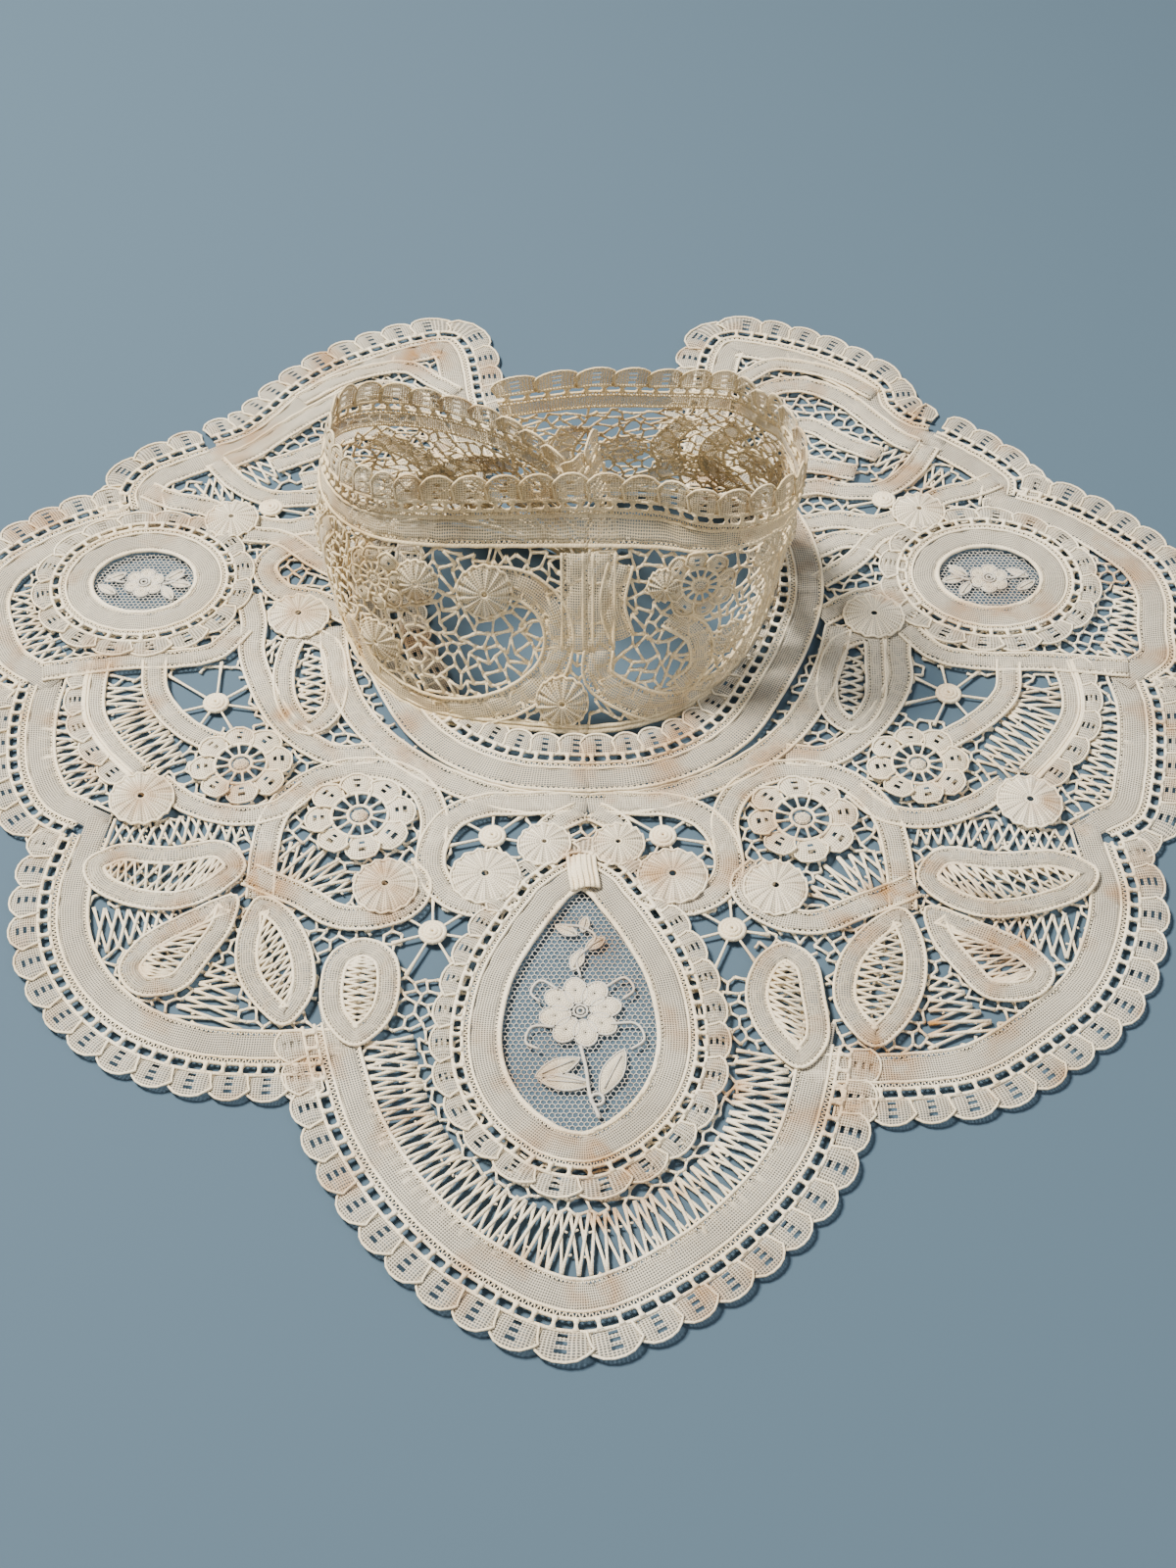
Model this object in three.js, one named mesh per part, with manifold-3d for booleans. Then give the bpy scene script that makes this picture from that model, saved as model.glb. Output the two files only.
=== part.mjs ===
// High neck lace collar: a scalloped yoke of tape lace lying flat, with a standing neck band.
// Millimetres, +Z up. The front lobe points to -Y and the back opening to +Y.
// The yoke's pieces lie in one plane, what is laid on them lies just above,
// and the band is a thin wall that leans in from its base to its rim.

import * as THREE from 'three';
import { mergeVertices } from 'three/addons/utils/BufferGeometryUtils.js';
import Module from 'manifold-3d';

// ---------------------------------------------------------------- driving dimensions

const SEAM = 0.3; // clear distance between neighbouring pieces
const CLOTH = 1.0; // thickness of the yoke's lace, which lies on the surface
const RELIEF = 0.9; // thickness of the tape work laid over the yoke
const NET = 0.7; // thickness of the net inserts

const TAPE = 9.6; // woven braid with its openwork edge
const FRILL = 13.2; // ladder and scallops outside the braid
const SCALLOP = 9.6; // pitch of one scallop
const SCALLOP_DEPTH = 2.6; // how far the notch between two scallops cuts in
const SCALLOP_STEPS = 3; // straight steps along one scallop

const RING_FRILL = 13.6; // ladder and scallops inside the neck ring
const MEDALLION_TAPE = 9.0; // braid round a net insert
const MEDALLION_FRILL = 10.5; // ladder and scallops round a net insert

const BAND_WALL = 1.2; // thickness of the standing band
const BAND_FOOT = 1.6; // the band is sewn on top of the neck ring
const BAND_WAIST = 57; // top of the openwork, where the band's braid starts
const BAND_SHOULDER = 64.2; // top of the braid's woven part
const BAND_RIM = 80; // tips of the band's scallops
const BAND_WAIST_REACH = 0.79; // share of the lean that is reached at the waist
const BAND_CELL = 7.4; // pitch of the band's grid along the cloth
const BAND_ROWS = 7; // rows of the band's grid from foot to waist

const BAR = 1.5; // width left between two gaps of a bride ground
const HUB = 3.5; // radius of a spider's wound disc
const SMALLEST_GAP = 13; // a cell of less area than this, in square mm, stays closed
const EDGE_STEP = 7; // length of the straight steps along a border
const BLUR = 20; // square of the distance, in mm, over which a hand-made shift fades

const LACE = { color: 0xd9d2c4, roughness: 0.9, metalness: 0 };
const LINEN = { color: 0xcfcabd, roughness: 0.92, metalness: 0 };
const CORD = { color: 0xe6dcc4, roughness: 0.85, metalness: 0 };
const STRAW = { color: 0xc9b98f, roughness: 0.9, metalness: 0 };

// ---------------------------------------------------------------- the lace's plan

// Outer edge of the braid along each lobe of the left half, from one notch to the next.
const LOBE_EDGES = {
  fan: [[-70, -115], [-88, -115.5], [-106, -113.5], [-124, -106], [-138, -93], [-147, -76],
    [-149.5, -58], [-147, -39]],
  side: [[-148, -35.5], [-158, -29.5], [-165.5, -17], [-169, -3], [-170, 10], [-169.5, 19.5]],
  wing: [[-172, 20], [-182, 28], [-189, 41], [-193, 56], [-190, 70], [-180, 82], [-166, 92],
    [-151.5, 98]],
  shoulder: [[-149.5, 99], [-151.5, 107], [-147.5, 117], [-139, 123], [-129, 128.5]],
  rear: [[-127, 131], [-116.5, 137], [-108.5, 147], [-101, 158.5], [-90, 170], [-76, 179],
    [-62, 185.5], [-50, 188], [-45.5, 181], [-43, 170], [-41, 156], [-37, 139], [-33, 123]],
};

// Left half of the front lobe's edge, from its notch down to the tip.
const FRONT_EDGE = [[-72, -104], [-68, -119], [-61, -138], [-47.5, -158.5], [-28, -176.5], [-2, -187.5]];

// Corner under the neck ring where the rear lobe's ground ends at the back opening.
const BACK_CORNER = [-20, 100];

// Seams between neighbouring lobes of the left half, from the notch in to the neck ring.
const LOBE_SEAMS = {
  frontFan: [[-71, -109], [-73.5, -95], [-70.5, -78], [-60, -75], [-49.5, -64], [-50, -48],
    [-42, -28], [-20, 10]],
  fanSide: [[-147.5, -37], [-138, -35], [-120, -30], [-100, -30], [-88, -22], [-72, -12], [-35, 20]],
  sideWing: [[-170.5, 19.8], [-158, 24], [-140, 26.8], [-130, 26.5], [-120, 27.6], [-111, 30],
    [-107, 42], [-92, 46], [-40, 40]],
  wingShoulder: [[-151, 98.5], [-140, 100], [-125, 98], [-112, 88], [-95, 84], [-40, 70]],
  shoulderRear: [[-129, 131.8], [-112, 124], [-100, 118], [-88, 112], [-40, 85]],
};

// Outer edge of the neck ring's braid, left half, from the front centre to the back opening.
const RING_EDGE = [[0, -24], [-22, -22], [-39, -15], [-53, -3], [-63, 14], [-71, 35], [-75, 58], [-75.5, 82],
  [-69, 102], [-57, 114], [-44, 119], [-31, 120]];

// The right half is worked by hand like the left, and is not its true mirror: near each
// mirrored place (x, y) it is shifted by (dx, dy).
const HAND_SHIFTS = [
  { x: 142, y: 64, dx: -13.5, dy: 2 }, { x: 192, y: 62, dx: -9, dy: 2 }, { x: 152, y: 99, dx: -9, dy: 7 },
  { x: 130, y: 27, dx: -4, dy: -1 }, { x: 108, y: 38, dx: -9, dy: -1 }, { x: 91, y: 47, dx: -1, dy: 0 },
  { x: 148, y: 116, dx: -11, dy: 4 }, { x: 128, y: 129, dx: -10, dy: 8.5 }, { x: 113, y: 143, dx: -6, dy: 5 },
  { x: 101, y: 160, dx: 0.5, dy: 3 }, { x: 77, y: 180, dx: 2, dy: 1.5 },
  { x: 48, y: 193, dx: 0, dy: 0 }, { x: 112, y: 12, dx: -3, dy: 4 }, { x: 102, y: -13, dx: -5, dy: 0 },
  { x: 66, y: -33, dx: -4, dy: -1 },
  { x: 92, y: -57, dx: -4, dy: -4 }, { x: 150, y: -40, dx: 2, dy: -3 }, { x: 72, y: -112, dx: -6, dy: -8 },
  { x: 92, y: -116, dx: -2, dy: -7 }, { x: 43, y: -74, dx: -3, dy: 1 }, { x: 27, y: -40, dx: -6, dy: 0 },
  { x: 62, y: -92, dx: -10, dy: -2 }, { x: 30, y: -175, dx: -2, dy: 1 }, { x: 0, y: -186, dx: 0, dy: 0 },
  { x: 0, y: -30, dx: 0, dy: 0 }, { x: 78, y: 60, dx: 0, dy: 0 }, { x: 130, y: -106, dx: 0, dy: 0 },
  { x: 175, y: 10, dx: 0, dy: 2 }, { x: 30, y: 140, dx: 0, dy: 0 },
];

// Grounds of brides: a spine, the ground's width at each of its points, its rows of gaps,
// and the pitch of the gaps along it.
const BRIDE_GROUNDS = [
  { lobe: 'fan', rows: 1, pitch: 5.6, widths: [6, 7, 9, 9],
    spine: [[-137, -38.5], [-124, -38], [-110, -35.5], [-98, -35]] },
  { lobe: 'fan', rows: 2, pitch: 6.4, widths: [5, 9, 15],
    spine: [[-115, -68], [-126, -71], [-137, -73]] },
  { lobe: 'fan', rows: 2, pitch: 7, widths: [5, 10, 19],
    spine: [[-100, -84], [-101, -94], [-103, -103]] },
  { lobe: 'fan', rows: 2, pitch: 6.4, widths: [9, 14, 9],
    spine: [[-88, -46], [-77, -52], [-71, -61]] },
  { lobe: 'side', rows: 2, pitch: 6.2, widths: [12, 16, 14, 10],
    spine: [[-142, 20], [-140, 8], [-132, -4], [-124, -14]] },
  { lobe: 'side', rows: 1, pitch: 6.2, widths: [9, 11, 10, 7],
    spine: [[-159, 10], [-158, -4], [-151, -17], [-145, -25]] },
  { lobe: 'side', rows: 1, pitch: 5.6, widths: [6, 7, 6],
    spine: [[-84, 33], [-84, 20], [-83, 5]] },
  { lobe: 'side', rows: 1, pitch: 6, widths: [7, 7],
    spine: [[-103, 36], [-97, 34]] },
  { lobe: 'wing', rows: 1, pitch: 6.2, widths: [6, 7.5, 8.5, 6],
    spine: [[-181, 61], [-179, 50], [-172.5, 38], [-165, 30.5]] },
  { lobe: 'wing', rows: 1, pitch: 5.6, widths: [7, 7],
    spine: [[-102, 88], [-97, 84]] },
  { lobe: 'shoulder', rows: 2, pitch: 6.4, widths: [7, 13, 8],
    spine: [[-130, 108], [-118, 112], [-106, 122]] },
  { lobe: 'rear', rows: 1, pitch: 6.2, widths: [7, 8],
    spine: [[-79, 172], [-68, 175]] },
  { lobe: 'front', rows: 1, pitch: 5.6, widths: [6, 7, 6],
    spine: [[-61, -84], [-61.5, -92], [-61, -101]] },
];

// The front lobe's wide ground of brides, right across it, below the net insert.
const FRONT_GROUND = {
  spine: [[-53, -108], [-51, -124], [-44.5, -140], [-33.5, -154], [-18, -164.5], [-1, -168.5]],
  widths: [10, 13, 14, 14, 14, 14], rows: 2, pitch: 6.6,
};

// Spiders: a wound disc held by legs in the middle of an opening.
const SPIDERS = [
  { lobe: 'front', disc: [-27.5, -40], legs: 6,
    opening: [[-39, -38], [-33, -34], [-24, -33], [-15, -35], [-19, -40], [-20.5, -47], [-27, -45],
      [-35, -49], [-38, -46]] },
  { lobe: 'front', disc: [-43, -74], legs: 6,
    opening: [[-47, -63], [-40, -66.5], [-30, -69.5], [-30.5, -75], [-37, -80], [-39, -86], [-44, -88],
      [-50, -84], [-51.5, -73]] },
  { lobe: 'side', disc: [-113, 12], legs: 6,
    opening: [[-129.5, 23], [-120, 24.5], [-111, 27], [-105.5, 19], [-101.5, 8], [-104, 4],
      [-112, 2.5], [-119, -1], [-125, 6], [-129, 14]] },
  { lobe: 'shoulder', disc: [-105, 99.5], legs: 5,
    opening: [[-113, 101], [-106, 105], [-99, 112], [-91, 104], [-93, 99], [-100, 95],
      [-109, 95.5]] },
];

// Daisies: eight scalloped petals round a small hub.
const DAISIES = [
  { name: 'front', centre: [-66, -33], radius: 16.5 },
  { name: 'side', centre: [-102.5, -13.5], radius: 15.5 },
];
const PETALS = 8;
const PETAL_NOTCH = 0.8; // share of the radius that is left between two petals
const PETAL_ROUND = 0.06; // how much of the radius the petals' corners lose

// Rosettes: braid gathered into a round.
const ROSETTES = [
  { name: 'scroll', centre: [-29, -55], radius: 9.8 },
  { name: 'knot', centre: [-12.5, -43.5], radius: 7.6 },
  { name: 'fan', centre: [-57, -58.5], radius: 9.3 },
  { name: 'side', centre: [-130, -26.5], radius: 9.6 },
  { name: 'neck', centre: [-91, 48], radius: 9.5 },
  { name: 'shoulder', centre: [-117, 92.5], radius: 8.6 },
];

// Closed loops of braid laid as leaves and ovals, each given by its outline.
const LOOPS = [
  { name: 'leaf_upper', outline: [[-97, -51], [-104, -42.5], [-120, -44.5], [-134, -43.5], [-143, -50],
    [-140, -58.5], [-127, -65.5], [-113, -66], [-101, -58.5]] },
  { name: 'leaf_middle', outline: [[-98.5, -61.5], [-113, -68.5], [-124, -77], [-128, -87], [-122, -95],
    [-110, -93.5], [-104, -84], [-98.5, -72]] },
  { name: 'leaf_lower', outline: [[-92, -62], [-96.5, -74], [-95.5, -88], [-89, -99], [-81, -105],
    [-74.5, -95], [-76, -80], [-84, -66]] },
  { name: 'oval', outline: [[-61.5, -76.5], [-70, -81], [-72.5, -92], [-70, -104], [-62, -111.5],
    [-53.5, -104], [-51, -92], [-53.5, -81]] },
];

// Net inserts: the left half of the front net from its tip down to its foot, whose frill is
// narrower round the tip, and the two oval ones in the wings.
const FRONT_NET = [[-2.3, -59], [-9, -67], [-15, -77], [-20.5, -89], [-23, -101], [-23.3, -111],
  [-21, -121], [-14.5, -131], [-2.3, -138]];
const FRONT_NET_TIP = { length: 10, frill: 0.6 };
const WING_NET = { centre: [-142, 64], reach: [16.5, 14] };

// The front cap: a padded bar over the top of the front net.
const CAP = { from: [-2, -49], to: [-0.5, -59.5], width: 8, taper: 0.7 };

// Stations of the standing band, from the left flap's free end round the front to the right
// flap's: foot (x, y), rim (x, y), how evenly the wall leans (0 upright top, 1 even slope),
// and how far it swells out of that slope at half its height.
const BAND_STATIONS = [
  { foot: [11, 82], rim: [2.5, 50], even: 1, swell: 0 },
  { foot: [0, 71], rim: [-4.5, 33.5], even: 1, swell: 0 },
  { foot: [-12, 80], rim: [-14, 44], even: 1, swell: 0 },
  { foot: [-27, 88], rim: [-26, 55], even: 1, swell: 1 },
  { foot: [-45, 93], rim: [-44, 64], even: 1, swell: 2 },
  { foot: [-62, 90], rim: [-61, 68], even: 1, swell: 4 },
  { foot: [-74, 78], rim: [-71.5, 64.5], even: 0.8, swell: 6 },
  { foot: [-78, 60], rim: [-73.5, 50], even: 0.6, swell: 6 },
  { foot: [-74, 39], rim: [-69, 38], even: 0.4, swell: 5 },
  { foot: [-63, 19], rim: [-60, 31], even: 0.2, swell: 3 },
  { foot: [-46, 6], rim: [-46, 28.6], even: 0, swell: 1 },
  { foot: [-23, 1], rim: [-23, 28.6], even: 0, swell: 0 },
  { foot: [0, -1], rim: [0, 29.2], even: 0, swell: 0 },
  { foot: [18, 3], rim: [20, 27.5], even: 0, swell: 0 },
  { foot: [34, 13], rim: [34, 22.5], even: 0, swell: 0 },
  { foot: [46, 28], rim: [49, 24.5], even: 0.2, swell: 1 },
  { foot: [54, 46], rim: [59.5, 32], even: 0.4, swell: 1 },
  { foot: [60, 66], rim: [61.5, 44], even: 0.6, swell: 1 },
  { foot: [61, 84], rim: [55, 61], even: 0.8, swell: 2 },
  { foot: [54, 98], rim: [50, 63.5], even: 1, swell: 2 },
  { foot: [38, 105], rim: [43, 72], even: 1, swell: 2 },
  { foot: [16, 108], rim: [24, 73.5], even: 1, swell: 1 },
  { foot: [-4, 107], rim: [0, 74.5], even: 1, swell: 0 },
  { foot: [-22, 104], rim: [-29.5, 69], even: 1, swell: 0 },
];
const BAND_CENTRE = 12; // the station at the centre front
const BAND_MIDDLE = [-5, 50]; // the neck's middle, from which the wall swells

// Openwork of the band: stretches between stations, and the grid rows that it fills.
const BAND_OPENWORK = [
  { from: 2.2, to: 4.6, low: 3, high: 7 },
  { from: 6.6, to: 8.6, low: 1, high: 6 },
  { from: 9.2, to: 11.2, low: 1, high: 7 },
  { from: 12.8, to: 14.7, low: 2, high: 7 },
  { from: 15.4, to: 17.6, low: 1, high: 6 },
  { from: 19.4, to: 22.3, low: 3, high: 7 },
];

// ---------------------------------------------------------------- plane geometry

const wasm = await Module();
wasm.setup();

const add = (a, b) => [a[0] + b[0], a[1] + b[1]];
const minus = (a, b) => [a[0] - b[0], a[1] - b[1]];
const scaled = (a, k) => [a[0] * k, a[1] * k];
const mix = (a, b, t) => [a[0] + (b[0] - a[0]) * t, a[1] + (b[1] - a[1]) * t];
const lengthOf = (a) => Math.hypot(a[0], a[1]);
const unit = (a) => scaled(a, 1 / lengthOf(a));
const leftOf = (a) => [-a[1], a[0]];

/** Points of a smooth curve through the given points. */
function smooth(points, count, closed = false) {
  const through = points.map(([x, y]) => new THREE.Vector3(x, y, 0));
  const curve = new THREE.CatmullRomCurve3(through, closed, 'centripetal');
  const samples = curve.getSpacedPoints(count).map((p) => [p.x, p.y]);
  return closed ? samples.slice(0, -1) : samples;
}

/** Length of a polyline. */
function runLength(line) {
  return line.slice(1).reduce((sum, point, i) => sum + lengthOf(minus(point, line[i])), 0);
}

/** Unit direction of a polyline at each of its points. */
function directions(line, closed = false) {
  const last = line.length - 1;
  return line.map((_, i) => {
    const before = i > 0 ? line[i - 1] : line[closed ? last : 0];
    const after = i < last ? line[i + 1] : line[closed ? 0 : last];
    return unit(minus(after, before));
  });
}

/** A polyline moved sideways, to its left where the distance is positive. */
function offset(line, distance, closed = false) {
  const along = directions(line, closed);
  return line.map((point, i) => {
    const reach = typeof distance === 'function' ? distance(i) : distance;
    return add(point, scaled(leftOf(along[i]), reach));
  });
}

/** Distance from a point to the nearest point of a polyline. */
function distanceTo(line, point) {
  return Math.min(...line.slice(1).map((end, i) => {
    const run = minus(end, line[i]);
    const reach = minus(point, line[i]);
    const t = THREE.MathUtils.clamp((reach[0] * run[0] + reach[1] * run[1]) / lengthOf(run) ** 2, 0, 1);
    return lengthOf(minus(point, mix(line[i], end, t)));
  }));
}

/** A polyline moved sideways, without the loops that a tight bend would leave in it. */
function parallel(line, distance) {
  const clear = Math.abs(distance) * 0.98;
  return offset(line, distance).filter((point) => distanceTo(line, point) > clear);
}

/** Signed area of an outline. */
function signedArea(outline) {
  return outline.reduce((sum, [x, y], i) => {
    const [nx, ny] = outline[(i + 1) % outline.length];
    return sum + x * ny - nx * y;
  }, 0) / 2;
}

/** The outline turned anticlockwise. */
function anticlockwise(outline) {
  return signedArea(outline) < 0 ? [...outline].reverse() : outline;
}

/** An outline grown outwards by a distance. */
function grown(outline, distance) {
  return offset(anticlockwise(outline), -distance, true);
}

/** The place on the right half that answers to a place on the left half. */
function toRight([x, y]) {
  let weight = 0;
  let shift = [0, 0];
  for (const row of HAND_SHIFTS) {
    const near = 1 / ((-x - row.x) ** 2 + (y - row.y) ** 2 + BLUR) ** 1.5;
    weight += near;
    shift = add(shift, scaled([row.dx, row.dy], near));
  }
  return add([-x, y], scaled(shift, 1 / weight));
}

/** The places of a line on one half: 'left' as given, 'right' answered on the other half. */
function onSide(points, side) {
  return side === 'left' ? points : points.map(toRight);
}

/** The part of an outline on the left of the line from a to b. */
function clip(outline, a, b) {
  const normal = leftOf(minus(b, a));
  const height = (p) => (p[0] - a[0]) * normal[0] + (p[1] - a[1]) * normal[1];
  const kept = [];
  outline.forEach((point, i) => {
    const next = outline[(i + 1) % outline.length];
    const [h, hn] = [height(point), height(next)];
    if (h >= 0) kept.push(point);
    if (h * hn < 0) kept.push(mix(point, next, h / (h - hn)));
  });
  return kept;
}

// ---------------------------------------------------------------- solids

/** A closed three.js geometry as a solid that can be joined and cut. */
function solidOf(geometry) {
  const bare = geometry.clone();
  bare.deleteAttribute('normal');
  bare.deleteAttribute('uv');
  const welded = mergeVertices(bare, 1e-4);
  const vertProperties = new Float32Array(welded.attributes.position.array);
  const triVerts = new Uint32Array(welded.index.array);
  return new wasm.Manifold(new wasm.Mesh({ numProp: 3, vertProperties, triVerts }));
}

/** An upright prism over an outline. */
function prism(outline, bottom, top) {
  const shape = new THREE.Shape(anticlockwise(outline).map(([x, y]) => new THREE.Vector2(x, y)));
  const geometry = new THREE.ExtrudeGeometry(shape, { depth: top - bottom, bevelEnabled: false, steps: 1 });
  geometry.translate(0, 0, bottom);
  return solidOf(geometry);
}

/** A cutter that goes right through the yoke. */
const cutter = (outline) => prism(outline, -5, 5);

/** A solid with each of the cutters taken away. */
function without(solid, cutters) {
  return cutters.reduce((left, tool) => left.subtract(tool), solid);
}

/** The largest body of a solid, without the slivers that cutting leaves beside it. */
function mainBody(solid) {
  return solid.decompose().reduce((best, body) => (body.volume() > best.volume() ? body : best));
}

/** A solid as a named mesh. */
function named(name, solid, finish) {
  const { vertProperties, triVerts } = mainBody(solid).getMesh();
  const geometry = new THREE.BufferGeometry();
  geometry.setAttribute('position', new THREE.BufferAttribute(new Float32Array(vertProperties), 3));
  geometry.setIndex(new THREE.BufferAttribute(new Uint32Array(triVerts), 1));
  geometry.computeVertexNormals();
  const mesh = new THREE.Mesh(geometry, new THREE.MeshStandardMaterial(finish));
  mesh.name = name;
  return mesh;
}

// ---------------------------------------------------------------- outlines

/** Edge of a frill: flat-topped scallops standing off a line, at one side of it. */
function scallopEdge(line, reach, closed = false) {
  const count = Math.max(2, Math.round(runLength(closed ? [...line, line[0]] : line) / SCALLOP));
  const samples = smooth(line, count * SCALLOP_STEPS, closed);
  const notched = reach - Math.sign(reach) * SCALLOP_DEPTH;
  return offset(samples, (i) => (i % SCALLOP_STEPS === 0 ? notched : reach), closed);
}

/** A lobe's edge as a smooth line. */
const edgeLine = (edge) => smooth(edge, Math.round(runLength(edge) / EDGE_STEP));

/** Outline of the braid and frill along an open edge, the frill on the left of the line. */
function borderOutline(edge) {
  return [...scallopEdge(edge, FRILL), ...parallel(edgeLine(edge), -TAPE).reverse()];
}

/** The strip that a border covers, with room for a seam all round it. */
function borderStrip(edge) {
  const line = edgeLine(edge);
  const along = directions(line);
  line[0] = minus(line[0], scaled(along[0], 2 * SEAM));
  line.push(add(line.pop(), scaled(along.at(-1), 2 * SEAM)));
  return [...parallel(line, FRILL + SEAM), ...parallel(line, -TAPE - SEAM).reverse()];
}

/** Gaps of a bride ground: bricks laid in rows along its spine, less the bars. */
function groundGaps({ spine, widths, rows, pitch }) {
  const cells = Math.max(1, Math.round(runLength(spine) / pitch));
  const place = (along, across) => {
    const t = THREE.MathUtils.clamp(along / cells, 0, 1) * (spine.length - 1);
    const i = Math.min(spine.length - 2, Math.floor(t));
    const width = widths[i] + (widths[i + 1] - widths[i]) * (t - i);
    const side = leftOf(unit(minus(spine[i + 1], spine[i])));
    return add(mix(spine[i], spine[i + 1], t - i), scaled(side, (across - 0.5) * width));
  };
  const gaps = [];
  for (let row = 0; row < rows; row += 1) {
    const start = row % 2 === 0 ? 0 : -0.5;
    for (let cell = start; cell < cells; cell += 1) {
      const from = Math.max(0, cell);
      const to = Math.min(cells, cell + 1);
      const [low, high] = [row / rows, (row + 1) / rows];
      const corners = [place(from, low), place(to, low), place(to, high), place(from, high)];
      const gap = grown(corners, -BAR / 2);
      if (signedArea(gap) > SMALLEST_GAP) gaps.push(gap);
    }
  }
  return gaps;
}

/** Gaps between a spider's legs. */
function spiderGaps({ disc, opening, legs }) {
  const gaps = [];
  for (let leg = 0; leg < legs; leg += 1) {
    const [from, to, middle] = [leg, leg + 1, leg + 0.5].map((turn) => {
      const angle = (turn / legs) * 2 * Math.PI;
      return [Math.cos(angle), Math.sin(angle)];
    });
    const apex = add(disc, scaled(middle, BAR / 2 / Math.sin(Math.PI / legs)));
    const face = add(disc, scaled(middle, HUB));
    let gap = clip(anticlockwise(opening), apex, add(apex, from));
    gap = clip(gap, add(apex, to), apex);
    gap = clip(gap, face, add(face, scaled(leftOf(middle), -1)));
    if (gap.length > 2 && signedArea(gap) > SMALLEST_GAP) gaps.push(gap);
  }
  return gaps;
}

/** Outline of a flower with rounded petals. */
function daisyOutline(centre, radius) {
  const steps = 4;
  return Array.from({ length: PETALS * steps }, (_, i) => {
    const reach = radius * (i % steps === 0 ? PETAL_NOTCH : 1 - PETAL_ROUND * (i % 2));
    const angle = (i / (PETALS * steps)) * 2 * Math.PI;
    return add(centre, [reach * Math.cos(angle), reach * Math.sin(angle)]);
  });
}

/** Outline of an ellipse. */
function ellipse([cx, cy], [rx, ry], count) {
  return Array.from({ length: count }, (_, i) => {
    const angle = (i / count) * 2 * Math.PI;
    return [cx + rx * Math.cos(angle), cy + ry * Math.sin(angle)];
  });
}

// ---------------------------------------------------------------- the yoke

const SIDES = ['left', 'right'];

/** A whole line across the front from its left half. */
const across = (half) => [...half, ...[...half].slice(0, -1).reverse().map(toRight)];

/** A lobe's territory: its edge, and the seams on its two sides in to the neck. */
function territory(edge, firstSeam, lastSeam) {
  return [...edgeLine(edge), ...lastSeam.slice(1), ...firstSeam.slice(1).reverse()];
}

/** Lobes of one half in the order in which they are laid: each is over the ones after it. */
function halfLobes(side) {
  const onThis = (table) => Object.fromEntries(Object.entries(table).map(([key, line]) => [key, onSide(line, side)]));
  const seams = onThis(LOBE_SEAMS);
  const edges = onThis(LOBE_EDGES);
  const backOpening = [edges.rear.at(-1), ...onSide([BACK_CORNER], side)];
  const bounds = {
    fan: [seams.frontFan, seams.fanSide],
    wing: [seams.sideWing, seams.wingShoulder],
    side: [seams.fanSide, seams.sideWing],
    rear: [seams.shoulderRear, backOpening],
    shoulder: [seams.wingShoulder, seams.shoulderRear],
  };
  return Object.entries(bounds).map(([kind, between]) => (
    { name: `${kind}_${side}`, kind, side, edge: edges[kind], seams: between }));
}

const frontEdge = across(FRONT_EDGE);
const frontSeams = SIDES.map((side) => onSide(LOBE_SEAMS.frontFan, side));
const lobes = [
  { name: 'front', kind: 'front', side: 'both', edge: frontEdge, seams: frontSeams },
  ...SIDES.flatMap(halfLobes),
].map((lobe) => {
  // Every border runs with its frill on the left of its line.
  const outline = territory(lobe.edge, lobe.seams[0], lobe.seams[1]);
  const edge = signedArea(outline) > 0 ? [...lobe.edge].reverse() : lobe.edge;
  return { ...lobe, outline, edge };
});

const RING_STEPS = 22; // straight steps along one half of the neck ring
const RING_HALF = 60; // more than the ring's frill can reach over the centre line
const ringLeft = smooth(RING_EDGE, RING_STEPS);
const ringRight = smooth(onSide(RING_EDGE, 'right'), RING_STEPS);
const neckDisc = cutter(grown([...ringLeft, ...ringRight.slice(1).reverse()], SEAM));

/** A thin strip along a seam, which parts the two pieces that meet there. */
function seamStrip(line) {
  return cutter([...offset(line, SEAM / 2), ...offset(line, -SEAM / 2).reverse()]);
}

const seamStrips = SIDES.flatMap((side) => Object.values(LOBE_SEAMS).map((line) => seamStrip(onSide(line, side))));

/** Net insert, its braid with the frill, and the room that both take in the yoke. */
function medallion(net, frillAt) {
  const line = anticlockwise(net);
  const reach = MEDALLION_TAPE + MEDALLION_FRILL;
  const frillLine = offset(line, -MEDALLION_TAPE, true);
  const count = Math.round(runLength([...frillLine, frillLine[0]]) / SCALLOP);
  const samples = smooth(line, count * SCALLOP_STEPS, true);
  const notch = (i) => (i % SCALLOP_STEPS === 0 ? SCALLOP_DEPTH : 0);
  const rim = offset(samples, (i) => -(reach - notch(i)) * frillAt(samples[i]), true);
  const room = offset(samples, (i) => -(reach * frillAt(samples[i]) + SEAM), true);
  const braid = prism(rim, 0, CLOTH).subtract(cutter(grown(line, SEAM)));
  return { net: prism(line, 0, NET), braid, room: cutter(room) };
}

const [netMiddle, netTop] = FRONT_NET[0];
const netRight = FRONT_NET.slice(1, -1).reverse().map(([x, y]) => [2 * netMiddle - x, y]);
const frontNet = smooth([...FRONT_NET, ...netRight], 30, true);
const tipFrill = ([, y]) => (y > netTop - FRONT_NET_TIP.length ? FRONT_NET_TIP.frill : 1);
const wingMedallion = (side) => medallion(ellipse(onSide([WING_NET.centre], side)[0], WING_NET.reach, 24), () => 1);
const medallions = {
  front: medallion(frontNet, tipFrill),
  wing_left: wingMedallion('left'),
  wing_right: wingMedallion('right'),
};

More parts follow.
